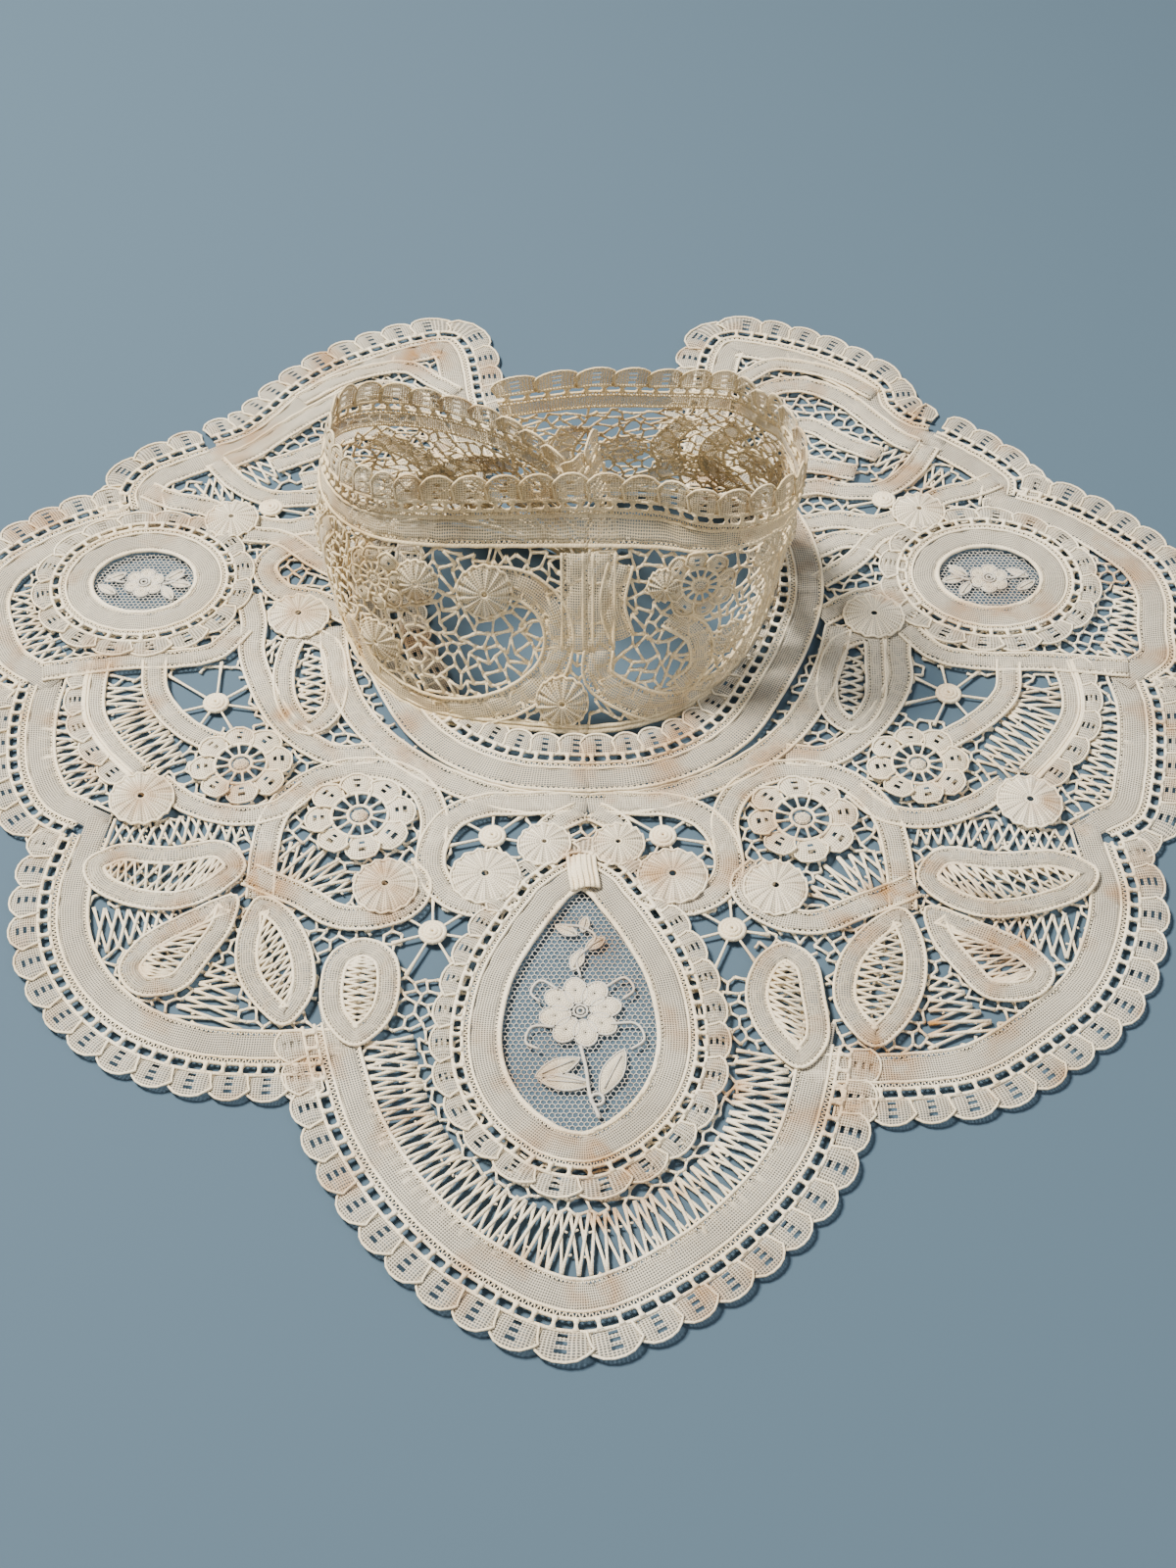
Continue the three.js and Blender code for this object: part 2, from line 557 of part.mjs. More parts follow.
/** The gaps that are cut in one lobe. */
function lobeGaps({ kind, side }) {
  const halves = side === 'both' ? SIDES : [side];
  const ofThis = (table) => table.filter((row) => row.lobe === kind);
  const gaps = halves.flatMap((half) => [
    ...ofThis(BRIDE_GROUNDS).flatMap((ground) => groundGaps({ ...ground, spine: onSide(ground.spine, half) })),
    ...ofThis(SPIDERS).flatMap(({ disc, opening, legs }) => (
      spiderGaps({ disc: onSide([disc], half)[0], opening: onSide(opening, half), legs }))),
  ]);
  if (kind === 'front') {
    const widths = [...FRONT_GROUND.widths, ...FRONT_GROUND.widths.slice(0, -1).reverse()];
    gaps.push(...groundGaps({ ...FRONT_GROUND, spine: across(FRONT_GROUND.spine), widths }));
  }
  return gaps;
}

const collar = new THREE.Group();
collar.name = 'high_neck_lace_collar';
const strips = lobes.map((lobe) => cutter(borderStrip(lobe.edge)));
const lands = lobes.map((lobe) => cutter(grown(lobe.outline, SEAM)));

lobes.forEach((lobe, i) => {
  const others = lobes.map((_, j) => j).filter((j) => j !== i);
  const room = medallions[lobe.kind === 'wing' ? lobe.name : lobe.kind];
  const border = without(prism(borderOutline(lobe.edge), 0, CLOTH), [
    ...others.map((j) => lands[j]),
    ...others.filter((j) => j < i).map((j) => strips[j].subtract(lands[i])),
    neckDisc,
  ]);
  collar.add(named(`border_${lobe.name}`, border, LINEN));
  const ground = without(prism(lobe.outline, 0, CLOTH), [
    neckDisc,
    strips[i],
    ...seamStrips,
    ...(room ? [room.room] : []),
    ...lobeGaps(lobe).map(cutter),
  ]);
  collar.add(named(`ground_${lobe.name}`, ground, LACE));
});

/** One half of the neck ring: its braid, and the frill that runs in under the band. */
function neckRing(side) {
  const edge = side === 'left' ? ringLeft : ringRight;
  const inward = side === 'left' ? -1 : 1;
  const outline = [...scallopEdge(edge, inward * (TAPE + RING_FRILL)), ...[...edge].reverse()];
  const seamAt = (inward * SEAM) / 2;
  const far = seamAt - inward * RING_HALF;
  const beyond = cutter([[seamAt, -RING_HALF], [far, -RING_HALF], [far, RING_HALF], [seamAt, RING_HALF]]);
  return named(`neck_ring_${side}`, prism(outline, 0, CLOTH).subtract(beyond), LINEN);
}

SIDES.forEach((side) => collar.add(neckRing(side)));

for (const [place, { net, braid }] of Object.entries(medallions)) {
  const own = lobes.findIndex(({ name }) => name === place);
  collar.add(named(`net_${place}`, net, LACE));
  collar.add(named(`medallion_${place}`, without(braid, [strips[own], neckDisc, ...seamStrips]), LINEN));
}

// ---------------------------------------------------------------- what is laid on the yoke

const LAID = CLOTH + SEAM; // underside of what is laid on the yoke

/** A flat piece laid on the yoke. */
const laid = (outline) => prism(outline, LAID, LAID + RELIEF);

const [capFrom, capTo] = [CAP.from, CAP.to];
const capWide = scaled(leftOf(unit(minus(capTo, capFrom))), CAP.width / 2);
const capNarrow = scaled(capWide, CAP.taper);
const capOutline = [add(capFrom, capWide), add(capTo, capNarrow), minus(capTo, capNarrow), minus(capFrom, capWide)];
collar.add(named('cap_front', laid(capOutline), CORD));

for (const side of SIDES) {
  for (const { name, centre, radius } of DAISIES) {
    collar.add(named(`daisy_${name}_${side}`, laid(daisyOutline(onSide([centre], side)[0], radius)), LACE));
  }
  for (const { name, centre, radius } of ROSETTES) {
    const round = ellipse(onSide([centre], side)[0], [radius, radius], 16);
    collar.add(named(`rosette_${name}_${side}`, laid(round), LACE));
  }
  for (const { name, outline } of LOOPS) {
    collar.add(named(`${name}_${side}`, laid(smooth(onSide(outline, side), 18, true)), LACE));
  }
}

// ---------------------------------------------------------------- the standing band

const bandFeet = BAND_STATIONS.map(({ foot }) => foot);
const bandRims = BAND_STATIONS.map(({ rim }) => rim);
const bandShape = BAND_STATIONS.map(({ even, swell }) => [even, swell]);

/** A column of the stations' table, eased between the stations by a cubic through them. */
function atStation(column, station) {
  const last = column.length - 1;
  const i = THREE.MathUtils.clamp(Math.floor(station), 0, last - 1);
  const t = THREE.MathUtils.clamp(station, 0, last) - i;
  const near = [i - 1, i, i + 1, i + 2].map((k) => column[THREE.MathUtils.clamp(k, 0, last)]);
  const [square, cube] = [t ** 2, t ** 3];
  const pulls = [2 * square - cube - t, 2 - 5 * square + 3 * cube, t + 4 * square - 3 * cube, cube - square];
  return near.reduce((sum, value, k) => add(sum, scaled(value, pulls[k] / 2)), [0, 0]);
}

/** Share of the way from foot to rim that the wall has leaned at a height. */
function lean(height, even) {
  const upright = height < BAND_WAIST
    ? (BAND_WAIST_REACH * height) / BAND_WAIST
    : THREE.MathUtils.mapLinear(Math.min(height, BAND_SHOULDER), BAND_WAIST, BAND_SHOULDER, BAND_WAIST_REACH, 1);
  return THREE.MathUtils.lerp(upright, height / BAND_RIM, even);
}

/** Place of the band's middle surface at a station and a height. */
function bandPlace(station, height) {
  const [even, swell] = atStation(bandShape, station);
  const share = lean(height, THREE.MathUtils.clamp(even, 0, 1));
  const slope = mix(atStation(bandFeet, station), atStation(bandRims, station), share);
  const outward = unit(minus(slope, BAND_MIDDLE));
  return add(slope, scaled(outward, swell * Math.sin((Math.PI * height) / BAND_RIM)));
}

/** A point of the band's face, out (+1) or in (-1) of its middle surface. */
function bandPoint(station, height, face) {
  const step = 0.02;
  const along = unit(minus(bandPlace(station + step, height), bandPlace(station - step, height)));
  // The stations run anticlockwise, so out of the neck is on their right.
  const place = add(bandPlace(station, height), scaled(leftOf(along), (-face * BAND_WALL) / 2));
  return [...place, height];
}

/**
 * A wall bent along the band, from a grid of stations and heights. A cell may have a gap,
 * a smaller cell inside it, that is cut right through.
 */
function bandWall(stations, heightsAt, hasGap) {
  const points = [];
  const triangles = [];
  const seen = new Map();
  const vertex = (station, height, face) => {
    const key = `${station.toFixed(4)},${height.toFixed(3)},${face}`;
    if (!seen.has(key)) {
      seen.set(key, points.length / 3);
      points.push(...bandPoint(station, height, face));
    }
    return seen.get(key);
  };
  const quad = (corners, flip) => {
    const [a, b, c, d] = flip ? [...corners].reverse() : corners;
    triangles.push(a, b, c, a, c, d);
  };
  const facing = (corners, face) => corners.map(([station, height]) => vertex(station, height, face));
  const edgeQuad = (from, to) => quad([...facing([from, to], 1), ...facing([to, from], -1)], true);
  const rows = heightsAt(0).length - 1;
  for (let col = 0; col < stations.length - 1; col += 1) {
    const [west, east] = [stations[col], stations[col + 1]];
    const [lows, highs] = [heightsAt(col), heightsAt(col + 1)];
    for (let row = 0; row < rows; row += 1) {
      const cell = [[west, lows[row]], [east, highs[row]], [east, highs[row + 1]], [west, lows[row + 1]]];
      if (hasGap(west, row, col)) {
        const middle = [0, 1].map((axis) => cell.reduce((sum, corner) => sum + corner[axis], 0) / 4);
        const gap = cell.map((corner) => mix(middle, corner, 1 - BAR / BAND_CELL));
        for (let i = 0; i < 4; i += 1) {
          const j = (i + 1) % 4;
          const ring = [cell[i], cell[j], gap[j], gap[i]];
          quad(facing(ring, 1), false);
          quad(facing(ring, -1), true);
          edgeQuad(gap[j], gap[i]);
        }
      } else {
        quad(facing(cell, 1), false);
        quad(facing(cell, -1), true);
      }
    }
    edgeQuad([west, lows[0]], [east, highs[0]]);
    edgeQuad([east, highs[rows]], [west, lows[rows]]);
  }
  for (let row = 0; row < rows; row += 1) {
    const [first, last] = [heightsAt(0), heightsAt(stations.length - 1)];
    edgeQuad([stations[0], first[row + 1]], [stations[0], first[row]]);
    edgeQuad([stations.at(-1), last[row]], [stations.at(-1), last[row + 1]]);
  }
  const geometry = new THREE.BufferGeometry();
  geometry.setAttribute('position', new THREE.BufferAttribute(new Float32Array(points), 3));
  geometry.setIndex(triangles);
  return geometry;
}

/** Station numbers from one to another, an even distance apart along the foot. */
function stationsBetween(from, to, pitch) {
  const steps = 400;
  const fine = Array.from({ length: steps + 1 }, (_, i) => from + ((to - from) * i) / steps);
  const line = fine.map((station) => bandPlace(station, BAND_WAIST / 2));
  const count = Math.max(1, Math.round(runLength(line) / pitch));
  const stations = [from];
  let walked = 0;
  for (let i = 1; i < fine.length; i += 1) {
    walked += lengthOf(minus(line[i], line[i - 1]));
    const due = (runLength(line) * stations.length) / count;
    if (walked >= due && stations.length < count) stations.push(fine[i]);
  }
  return [...stations, to];
}

/** The two nodes of one half of the band: the openwork wall, and the braid with its scallops. */
function bandHalf(side) {
  const last = BAND_STATIONS.length - 1;
  const halfSeam = SEAM / 2 / lengthOf(minus(bandFeet[BAND_CENTRE + 1], bandFeet[BAND_CENTRE]));
  const [from, to] = side === 'left' ? [0, BAND_CENTRE - halfSeam] : [BAND_CENTRE + halfSeam, last];
  const rowHeight = (BAND_WAIST - SEAM - BAND_FOOT) / BAND_ROWS;
  const heights = Array.from({ length: BAND_ROWS + 1 }, (_, row) => BAND_FOOT + rowHeight * row);
  const open = (station, row, col) => (row + col) % 2 === 0 && BAND_OPENWORK.some((stretch) => (
    station > stretch.from && station < stretch.to && row >= stretch.low && row < stretch.high));
  const wall = bandWall(stationsBetween(from, to, BAND_CELL), () => heights, open);
  const rims = stationsBetween(from, to, SCALLOP / SCALLOP_STEPS);
  const notch = (col) => (col % SCALLOP_STEPS === 0 ? SCALLOP_DEPTH : 0);
  const braidHeights = (col) => [BAND_WAIST, BAND_SHOULDER, BAND_RIM - notch(col)];
  const braid = bandWall(rims, braidHeights, () => false);
  return [named(`band_${side}`, solidOf(wall), STRAW), named(`band_braid_${side}`, solidOf(braid), STRAW)];
}

SIDES.forEach((side) => collar.add(...bandHalf(side)));

// ---------------------------------------------------------------- the origin

// The origin is the middle of the whole collar's base.
const box = new THREE.Box3().setFromObject(collar);
const middle = box.getCenter(new THREE.Vector3());
collar.children.forEach((mesh) => mesh.geometry.translate(-middle.x, -middle.y, -box.min.z));

export default collar;
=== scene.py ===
"""Dresses the high neck lace collar: braid, scallops, brides, nets, flowers and the standing band.

Sizes are in millimetres on the cloth and become metres when a piece is laid. The yoke is laid
flat, the band is laid on its leaning wall, and every thread is a real tube or a thin shell.
"""

import logging
import math
from dataclasses import dataclass, field
from enum import Enum
from typing import Sequence

import bpy
import numpy as np
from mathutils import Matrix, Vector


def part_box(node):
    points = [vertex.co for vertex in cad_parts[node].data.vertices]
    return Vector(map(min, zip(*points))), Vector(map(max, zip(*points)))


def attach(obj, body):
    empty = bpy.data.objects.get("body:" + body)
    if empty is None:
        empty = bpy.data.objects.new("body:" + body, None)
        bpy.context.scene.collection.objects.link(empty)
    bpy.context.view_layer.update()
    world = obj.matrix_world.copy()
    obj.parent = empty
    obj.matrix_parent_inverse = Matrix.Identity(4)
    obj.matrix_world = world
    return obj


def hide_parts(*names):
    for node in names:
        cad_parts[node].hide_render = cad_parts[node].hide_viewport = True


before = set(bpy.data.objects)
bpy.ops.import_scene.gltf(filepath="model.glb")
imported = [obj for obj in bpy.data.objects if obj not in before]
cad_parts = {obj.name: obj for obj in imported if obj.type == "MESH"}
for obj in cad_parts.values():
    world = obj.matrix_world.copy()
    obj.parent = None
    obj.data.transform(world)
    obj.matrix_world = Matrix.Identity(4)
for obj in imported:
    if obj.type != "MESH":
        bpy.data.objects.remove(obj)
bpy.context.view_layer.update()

log = logging.getLogger("collar")
Points = Sequence[Sequence[float]]
Colour = tuple[float, float, float]

MM = 0.001
SCALLOP = 9.6  # pitch of the scallops along a braid
TAPE = 9.6  # how far a frilled braid reaches inside its edge line
BORDER_INNER = 8.6  # how near a ground's threads come to their border's edge line
CLOTH = 0.12  # thickness of the woven cloth
HAND_REACH = 20  # square mm within which a hand shift holds in full
NET_MIDDLE = (-2.3, -98.5)  # middle of the front net, which ties the plan to the frame

# Edge lines of the left half's lobes, and the seams where two lobes meet.

LOBE_EDGES = {
    "fan": [(-70, -115), (-88, -115.5), (-106, -113.5), (-124, -106), (-138, -93), (-147, -76),
            (-149.5, -58), (-147, -39)],
    "side": [(-148, -35.5), (-158, -29.5), (-165.5, -17), (-169, -3), (-170, 10), (-169.5, 19.5)],
    "wing": [(-172, 20), (-182, 28), (-189, 41), (-193, 56), (-190, 70), (-180, 82), (-166, 92),
             (-151.5, 98)],
    "shoulder": [(-149.5, 99), (-151.5, 107), (-147.5, 117), (-139, 123), (-129, 128.5)],
    "rear": [(-127, 131), (-116.5, 137), (-108.5, 147), (-101, 158.5), (-90, 170), (-76, 179),
             (-62, 185.5), (-50, 188), (-45.5, 181), (-43, 170), (-41, 156), (-37, 139), (-33, 123)],
}
FRONT_EDGE = [(-72, -104), (-68, -119), (-61, -138), (-47.5, -158.5), (-28, -176.5), (-2, -187.5)]
LOBE_SEAMS = {
    "frontFan": [(-71, -109), (-73.5, -95), (-70.5, -78), (-60, -75), (-49.5, -64), (-50, -48),
                 (-42, -28), (-20, 10)],
    "fanSide": [(-147.5, -37), (-138, -35), (-120, -30), (-100, -30), (-88, -22), (-72, -12), (-35, 20)],
    "sideWing": [(-170.5, 19.8), (-158, 24), (-140, 26.8), (-130, 26.5), (-120, 27.6), (-111, 30),
                 (-107, 42), (-92, 46), (-40, 40)],
    "wingShoulder": [(-151, 98.5), (-140, 100), (-125, 98), (-112, 88), (-95, 84), (-40, 70)],
    "shoulderRear": [(-129, 131.8), (-112, 124), (-100, 118), (-88, 112), (-40, 85)],
}
# The seams on each lobe's two sides, and the height of its braid.
LOBE_BOUNDS = {
    "fan": ("frontFan", "fanSide"),
    "side": ("fanSide", "sideWing"),
    "wing": ("sideWing", "wingShoulder"),
    "shoulder": ("wingShoulder", "shoulderRear"),
    "rear": ("shoulderRear", None),
}
LOBE_LIFTS = {"front": 1.9, "fan": 1.7, "wing": 1.7, "side": 1.5, "rear": 1.5, "shoulder": 1.35}
RING_EDGE = [(0, -24), (-22, -22), (-39, -15), (-53, -3), (-63, 14), (-71, 35), (-75, 58), (-75.5, 82),
             (-69, 102), (-57, 114), (-44, 119), (-31, 120)]
# Where a mirrored place (x, y) lies on the hand-made right half: shifted by (dx, dy).
HAND_SHIFTS = np.array([
    (142, 64, -13.5, 2), (192, 62, -9, 2), (152, 99, -9, 7), (130, 27, -4, -1), (108, 38, -9, -1),
    (91, 47, -1, 0), (148, 116, -11, 4), (128, 129, -10, 8.5), (113, 143, -6, 5), (101, 160, 0.5, 3),
    (77, 180, 2, 1.5), (48, 193, 0, 0), (112, 12, -3, 4), (102, -13, -5, 0), (66, -33, -4, -1),
    (92, -57, -4, -4), (150, -40, 2, -3), (72, -112, -6, -8), (92, -116, -2, -7), (43, -74, -3, 1),
    (27, -40, -6, 0), (62, -92, -10, -2), (30, -175, -2, 1), (0, -186, 0, 0), (0, -30, 0, 0),
    (78, 60, 0, 0), (130, -106, 0, 0), (175, 10, 0, 2), (30, 140, 0, 0),
])

# Grounds of crossing brides: lobe, spine, and the ground's width at each point of the spine.
BRIDE_GROUNDS = [
    ("fan", [(-137, -38.5), (-124, -38), (-110, -35.5), (-98, -35)], [6, 7, 9, 9]),
    ("fan", [(-115, -68), (-126, -71), (-137, -73)], [5, 9, 15]),
    ("fan", [(-100, -84), (-101, -94), (-103, -103)], [5, 10, 19]),
    ("fan", [(-88, -46), (-77, -52), (-71, -61)], [9, 14, 9]),
    ("side", [(-142, 20), (-140, 8), (-132, -4), (-124, -14)], [12, 16, 14, 10]),
    ("side", [(-159, 10), (-158, -4), (-151, -17), (-145, -25)], [9, 11, 10, 7]),
    ("side", [(-84, 33), (-84, 20), (-83, 5)], [6, 7, 6]),
    ("side", [(-103, 36), (-97, 34)], [7, 7]),
    ("wing", [(-181, 61), (-179, 50), (-172.5, 38), (-165, 30.5)], [6, 7.5, 8.5, 6]),
    ("wing", [(-102, 88), (-97, 84)], [7, 7]),
    ("shoulder", [(-130, 108), (-118, 112), (-106, 122)], [7, 13, 8]),
    ("rear", [(-79, 172), (-68, 175)], [7, 8]),
    ("front", [(-61, -84), (-61.5, -92), (-61, -101)], [6, 7, 6]),
]
FRONT_GROUND = ([(-53, -108), (-51, -124), (-44.5, -140), (-33.5, -154), (-18, -164.5), (-1, -168.5)],
                [11, 14, 15, 15, 15, 15])
# Wound discs held by legs: lobe, disc, and the opening that the legs cross.
SPIDERS = [
    ("front", (-27.5, -40), [(-39, -38), (-33, -34), (-24, -33), (-15, -35), (-19, -40),
                             (-20.5, -47), (-27, -45), (-35, -49), (-38, -46)]),
    ("front", (-43, -74), [(-47, -63), (-40, -66.5), (-30, -69.5), (-30.5, -75), (-37, -80),
                           (-39, -86), (-44, -88), (-50, -84), (-51.5, -73)]),
    ("side", (-113, 12), [(-129.5, 23), (-120, 24.5), (-111, 27), (-105.5, 19), (-101.5, 8), (-104, 4),
                          (-112, 2.5), (-119, -1), (-125, 6), (-129, 14)]),
    ("shoulder", (-105, 99.5), [(-113, 101), (-106, 105), (-99, 112), (-91, 104), (-93, 99),
                                (-100, 95), (-109, 95.5)]),
]
# Runs of braid inside the lobes: lobe, line, width. A line that ends where it starts is closed.
TAPE_RUNS = [
    ("front", [(-5, -27), (-18, -28), (-30, -28.5), (-39, -33), (-44, -42), (-44.5, -52), (-40, -60),
               (-31, -64.5), (-20, -60)], 8.0),
    ("front", [(-2, -31), (-9, -35), (-14, -41)], 7.0),
    ("fan", [(-96, -54), (-89, -57.5), (-80, -62), (-70, -68.5), (-59, -69), (-50, -64.5), (-48, -57),
             (-53, -51)], 7.5),
    ("fan", [(-92, -62), (-92.5, -47), (-91, -33), (-86, -23.5), (-77, -16.5), (-66, -14), (-55, -16.5),
             (-48, -23), (-44.5, -33), (-45, -46)], 7.5),
    ("side", [(-80, 44), (-78, 30), (-73, 14), (-66, 2), (-56, -8.5), (-42, -18.5), (-24, -26),
              (0, -28.5)], 8.0),
    ("side", [(-134, 30), (-132, 17), (-127, 8), (-119, 0), (-110, -5)], 7.0),
    ("side", [(-108, 58), (-105, 46), (-104.5, 34), (-100, 20), (-93, 6), (-85, -3), (-75, -9),
              (-63, -8)], 7.5),
    ("side", [(-90, 40), (-93.5, 27), (-91, 11), (-84, 2), (-78, 8), (-77, 22), (-81, 37),
              (-90, 40)], 6.0),
    ("side", [(-126, -20), (-116, -28), (-102, -32.5), (-90, -30), (-82, -22)], 6.5),
    ("wing", [(-74, 48), (-86, 56), (-98, 60), (-104, 71), (-98, 80), (-86, 83), (-74, 78)], 7.5),
    ("wing", [(-168, 24.5), (-156, 27), (-142, 29.5), (-128, 30), (-116, 33), (-108, 44)], 7.0),
    ("wing", [(-112, 86), (-100, 84), (-88, 74), (-74, 64)], 6.5),
    ("shoulder", [(-147, 108), (-138, 103), (-127, 100), (-114, 93), (-100, 89.5), (-86, 92),
                  (-72, 90)], 7.5),
    ("shoulder", [(-126, 122), (-117, 111), (-106, 104), (-92, 104), (-80, 107), (-66, 104)], 7.0),
    ("rear", [(-121, 122), (-113, 128), (-104, 138), (-90, 151), (-75, 160), (-63, 158), (-56, 147),
              (-50, 132), (-44, 120), (-40, 112)], 7.5),
    ("rear", [(-106, 120), (-92, 128), (-78, 138), (-68, 135), (-62, 124), (-59, 108)], 7.0),
    ("rear", [(-96, 112), (-80, 117), (-66, 118), (-50, 122), (-38, 122)], 7.0),
    ("rear", [(-100, 154), (-90, 163), (-78, 169.5), (-64, 172), (-55, 165), (-46, 158)], 6.0),
]
# Inner rows of frilled braid: lobe, line (its frill on the outer side).
FRILL_RUNS = [
    ("side", [(-153, 29), (-153, 18), (-151, 6), (-144, -6), (-134, -17)]),
]
# Flowers and rosettes: middle and radius.
DAISIES = {"front": ((-66, -33), 16.5), "side": ((-102.5, -13.5), 15.5)}
ROSETTES = {"scroll": ((-29, -55), 9.8), "knot": ((-12.5, -43.5), 7.6), "fan": ((-57, -58.5), 9.3),
            "side": ((-130, -26.5), 9.6), "neck": ((-91, 48), 9.5), "shoulder": ((-117, 92.5), 8.6)}
# What each laid motif rests on. The front lobe's pieces are whole, and the other lobes have one
# for each half.
RESTS = {
    "daisy_front": ("ground_fan",),
    "daisy_side": ("ground_side",),
    "rosette_scroll": ("ground_front", "medallion_front"),
    "rosette_knot": ("ground_front", "medallion_front"),
    "rosette_fan": ("ground_fan",),
    "rosette_side": ("ground_side",),
    "rosette_neck": ("ground_wing", "ground_side"),
    "rosette_shoulder": ("ground_shoulder", "ground_wing", "medallion_wing"),
    "leaf_upper": ("ground_fan", "border_fan"),
    "leaf_middle": ("ground_fan",),
    "leaf_lower": ("ground_fan",),
    "oval": ("ground_front", "border_front"),
}
# Outlines of the leaves and the oval.
LOOPS = {
    "leaf_upper": [(-97, -51), (-104, -42.5), (-120, -44.5), (-134, -43.5), (-143, -50),
                   (-140, -58.5), (-127, -65.5), (-113, -66), (-101, -58.5)],
    "leaf_middle": [(-98.5, -61.5), (-113, -68.5), (-124, -77), (-128, -87), (-122, -95),
                    (-110, -93.5), (-104, -84), (-98.5, -72)],
    "leaf_lower": [(-92, -62), (-96.5, -74), (-95.5, -88), (-89, -99), (-81, -105), (-74.5, -95),
                   (-76, -80), (-84, -66)],
    "oval": [(-61.5, -76.5), (-70, -81), (-72.5, -92), (-70, -104), (-62, -111.5), (-53.5, -104),
             (-51, -92), (-53.5, -81)],
}
# Left side of the front net's drop, and the wing net's middle and half widths.
FRONT_NET = [(-2.3, -59), (-9, -67), (-15, -77), (-20.5, -89), (-23, -101), (-23.3, -111),
             (-21, -121), (-14.5, -131), (-2.3, -138)]
WING_NET = ((-142, 64), (16.5, 14))
# Stations of the band: foot x, foot y, rim x, rim y, evenness of its lean, swell.
BAND_STATIONS = np.array([
    (11, 82, 2.5, 50, 1, 0), (0, 71, -4.5, 33.5, 1, 0), (-12, 80, -14, 44, 1, 0),
    (-27, 88, -26, 55, 1, 1), (-45, 93, -44, 64, 1, 2), (-62, 90, -61, 68, 1, 4),
    (-74, 78, -71.5, 64.5, 0.8, 6), (-78, 60, -73.5, 50, 0.6, 6), (-74, 39, -69, 38, 0.4, 5),
    (-63, 19, -60, 31, 0.2, 3), (-46, 6, -46, 28.6, 0, 1), (-23, 1, -23, 28.6, 0, 0),
    (0, -1, 0, 29.2, 0, 0), (18, 3, 20, 27.5, 0, 0), (34, 13, 34, 22.5, 0, 0),
    (46, 28, 49, 24.5, 0.2, 1), (54, 46, 59.5, 32, 0.4, 1), (60, 66, 61.5, 44, 0.6, 1),
    (61, 84, 55, 61, 0.8, 2), (54, 98, 50, 63.5, 1, 2), (38, 105, 43, 72, 1, 2),
    (16, 108, 24, 73.5, 1, 1), (-4, 107, 0, 74.5, 1, 0), (-22, 104, -29.5, 69, 1, 0),
])
# Runs of braid on the wall: line of (along, height), width.
BAND_RUNS = [
    ([(-30, 47), (-19, 45.5), (-11, 39), (-8.5, 31), (-11, 21), (-22, 11), (-36, 6), (-54, 5), (-70, 9),
      (-80, 20)], 8.5),
    ([(-1, 55), (-2, 46), (-1, 36), (-3, 27)], 9.0),
    ([(-2, 27), (3, 19), (12, 12), (24, 6), (38, 5), (52, 9), (62, 20), (64, 34), (58, 46)], 8.5),
    ([(9, 52), (7, 40), (10, 30)], 7.0),
    ([(24, 36), (33, 28), (34, 16), (26, 10)], 7.5),
    ([(-88, 52), (-96, 40), (-96, 24), (-88, 10)], 8.0),
    ([(-104, 8), (-118, 14), (-124, 28), (-118, 44), (-104, 52)], 8.0),
    ([(-132, 10), (-148, 16), (-160, 30), (-172, 42), (-186, 50)], 8.0),
    ([(-140, 50), (-152, 42), (-166, 22), (-180, 12), (-200, 10), (-216, 20)], 8.0),
    ([(78, 50), (70, 36), (74, 20), (86, 9)], 8.0),
    ([(92, 52), (104, 44), (110, 28), (102, 14), (92, 10)], 8.0),
    ([(118, 10), (132, 18), (136, 34), (128, 50)], 8.0),
    ([(146, 50), (152, 34), (148, 18), (160, 8), (176, 12), (184, 28), (180, 46)], 8.0),
]
# Rosettes and flowers on the wall: along, height, radius.
BAND_ROSETTES = [(-30, 44, 8.0), (-4, 12, 7.6), (57, 51, 6.0), (-64, 22, 7.0), (-50, 46, 6.5),
                 (-110, 30, 7.5), (120, 32, 7.5), (-190, 32, 8.0), (165, 30, 8.0), (22, 46, 5.0),
                 (44, 22, 6.0), (88, 32, 6.0)]
BAND_DAISIES = [(33, 46, 12.0), (-64, 44, 11.0), (-160, 24, 9.0), (140, 20, 8.0)]
# Stains on the cloth: place (x, y) and radius.
STAINS = (
    (6, -146, 11), (36, -123, 8), (78, -114, 12), (-94, -57, 15), (-59, 179, 13), (86, -60, 11),
    (-60, -60, 7), (118, -78, 10), (4, -160, 8), (-66, -33, 6), (-130, -27, 8), (2, -181, 8),
    (-4, -48, 6), (92, -104, 9), (132, -28, 8), (-90, 6, 7),
)


class Half(Enum):
    """The two halves of the collar."""

    LEFT = "left"
    RIGHT = "right"

    def place(self, points: Points) -> np.ndarray:
        """Finds the places of the left half's points on this half.

        Args:
            points: places on the left half.

        Returns:
            An (n, 2) array: the points themselves, or their hand-made mirror images.
        """
        given = np.array(points, float).reshape(-1, 2)
        if self is Half.LEFT:
            return given
        mirrored = given * [-1, 1]
        gap = ((mirrored[:, None, :] - HAND_SHIFTS[None, :, :2]) ** 2).sum(2) + HAND_REACH
        near = gap ** -1.5
        return mirrored + near @ HAND_SHIFTS[:, 2:] / near.sum(1, keepdims=True)


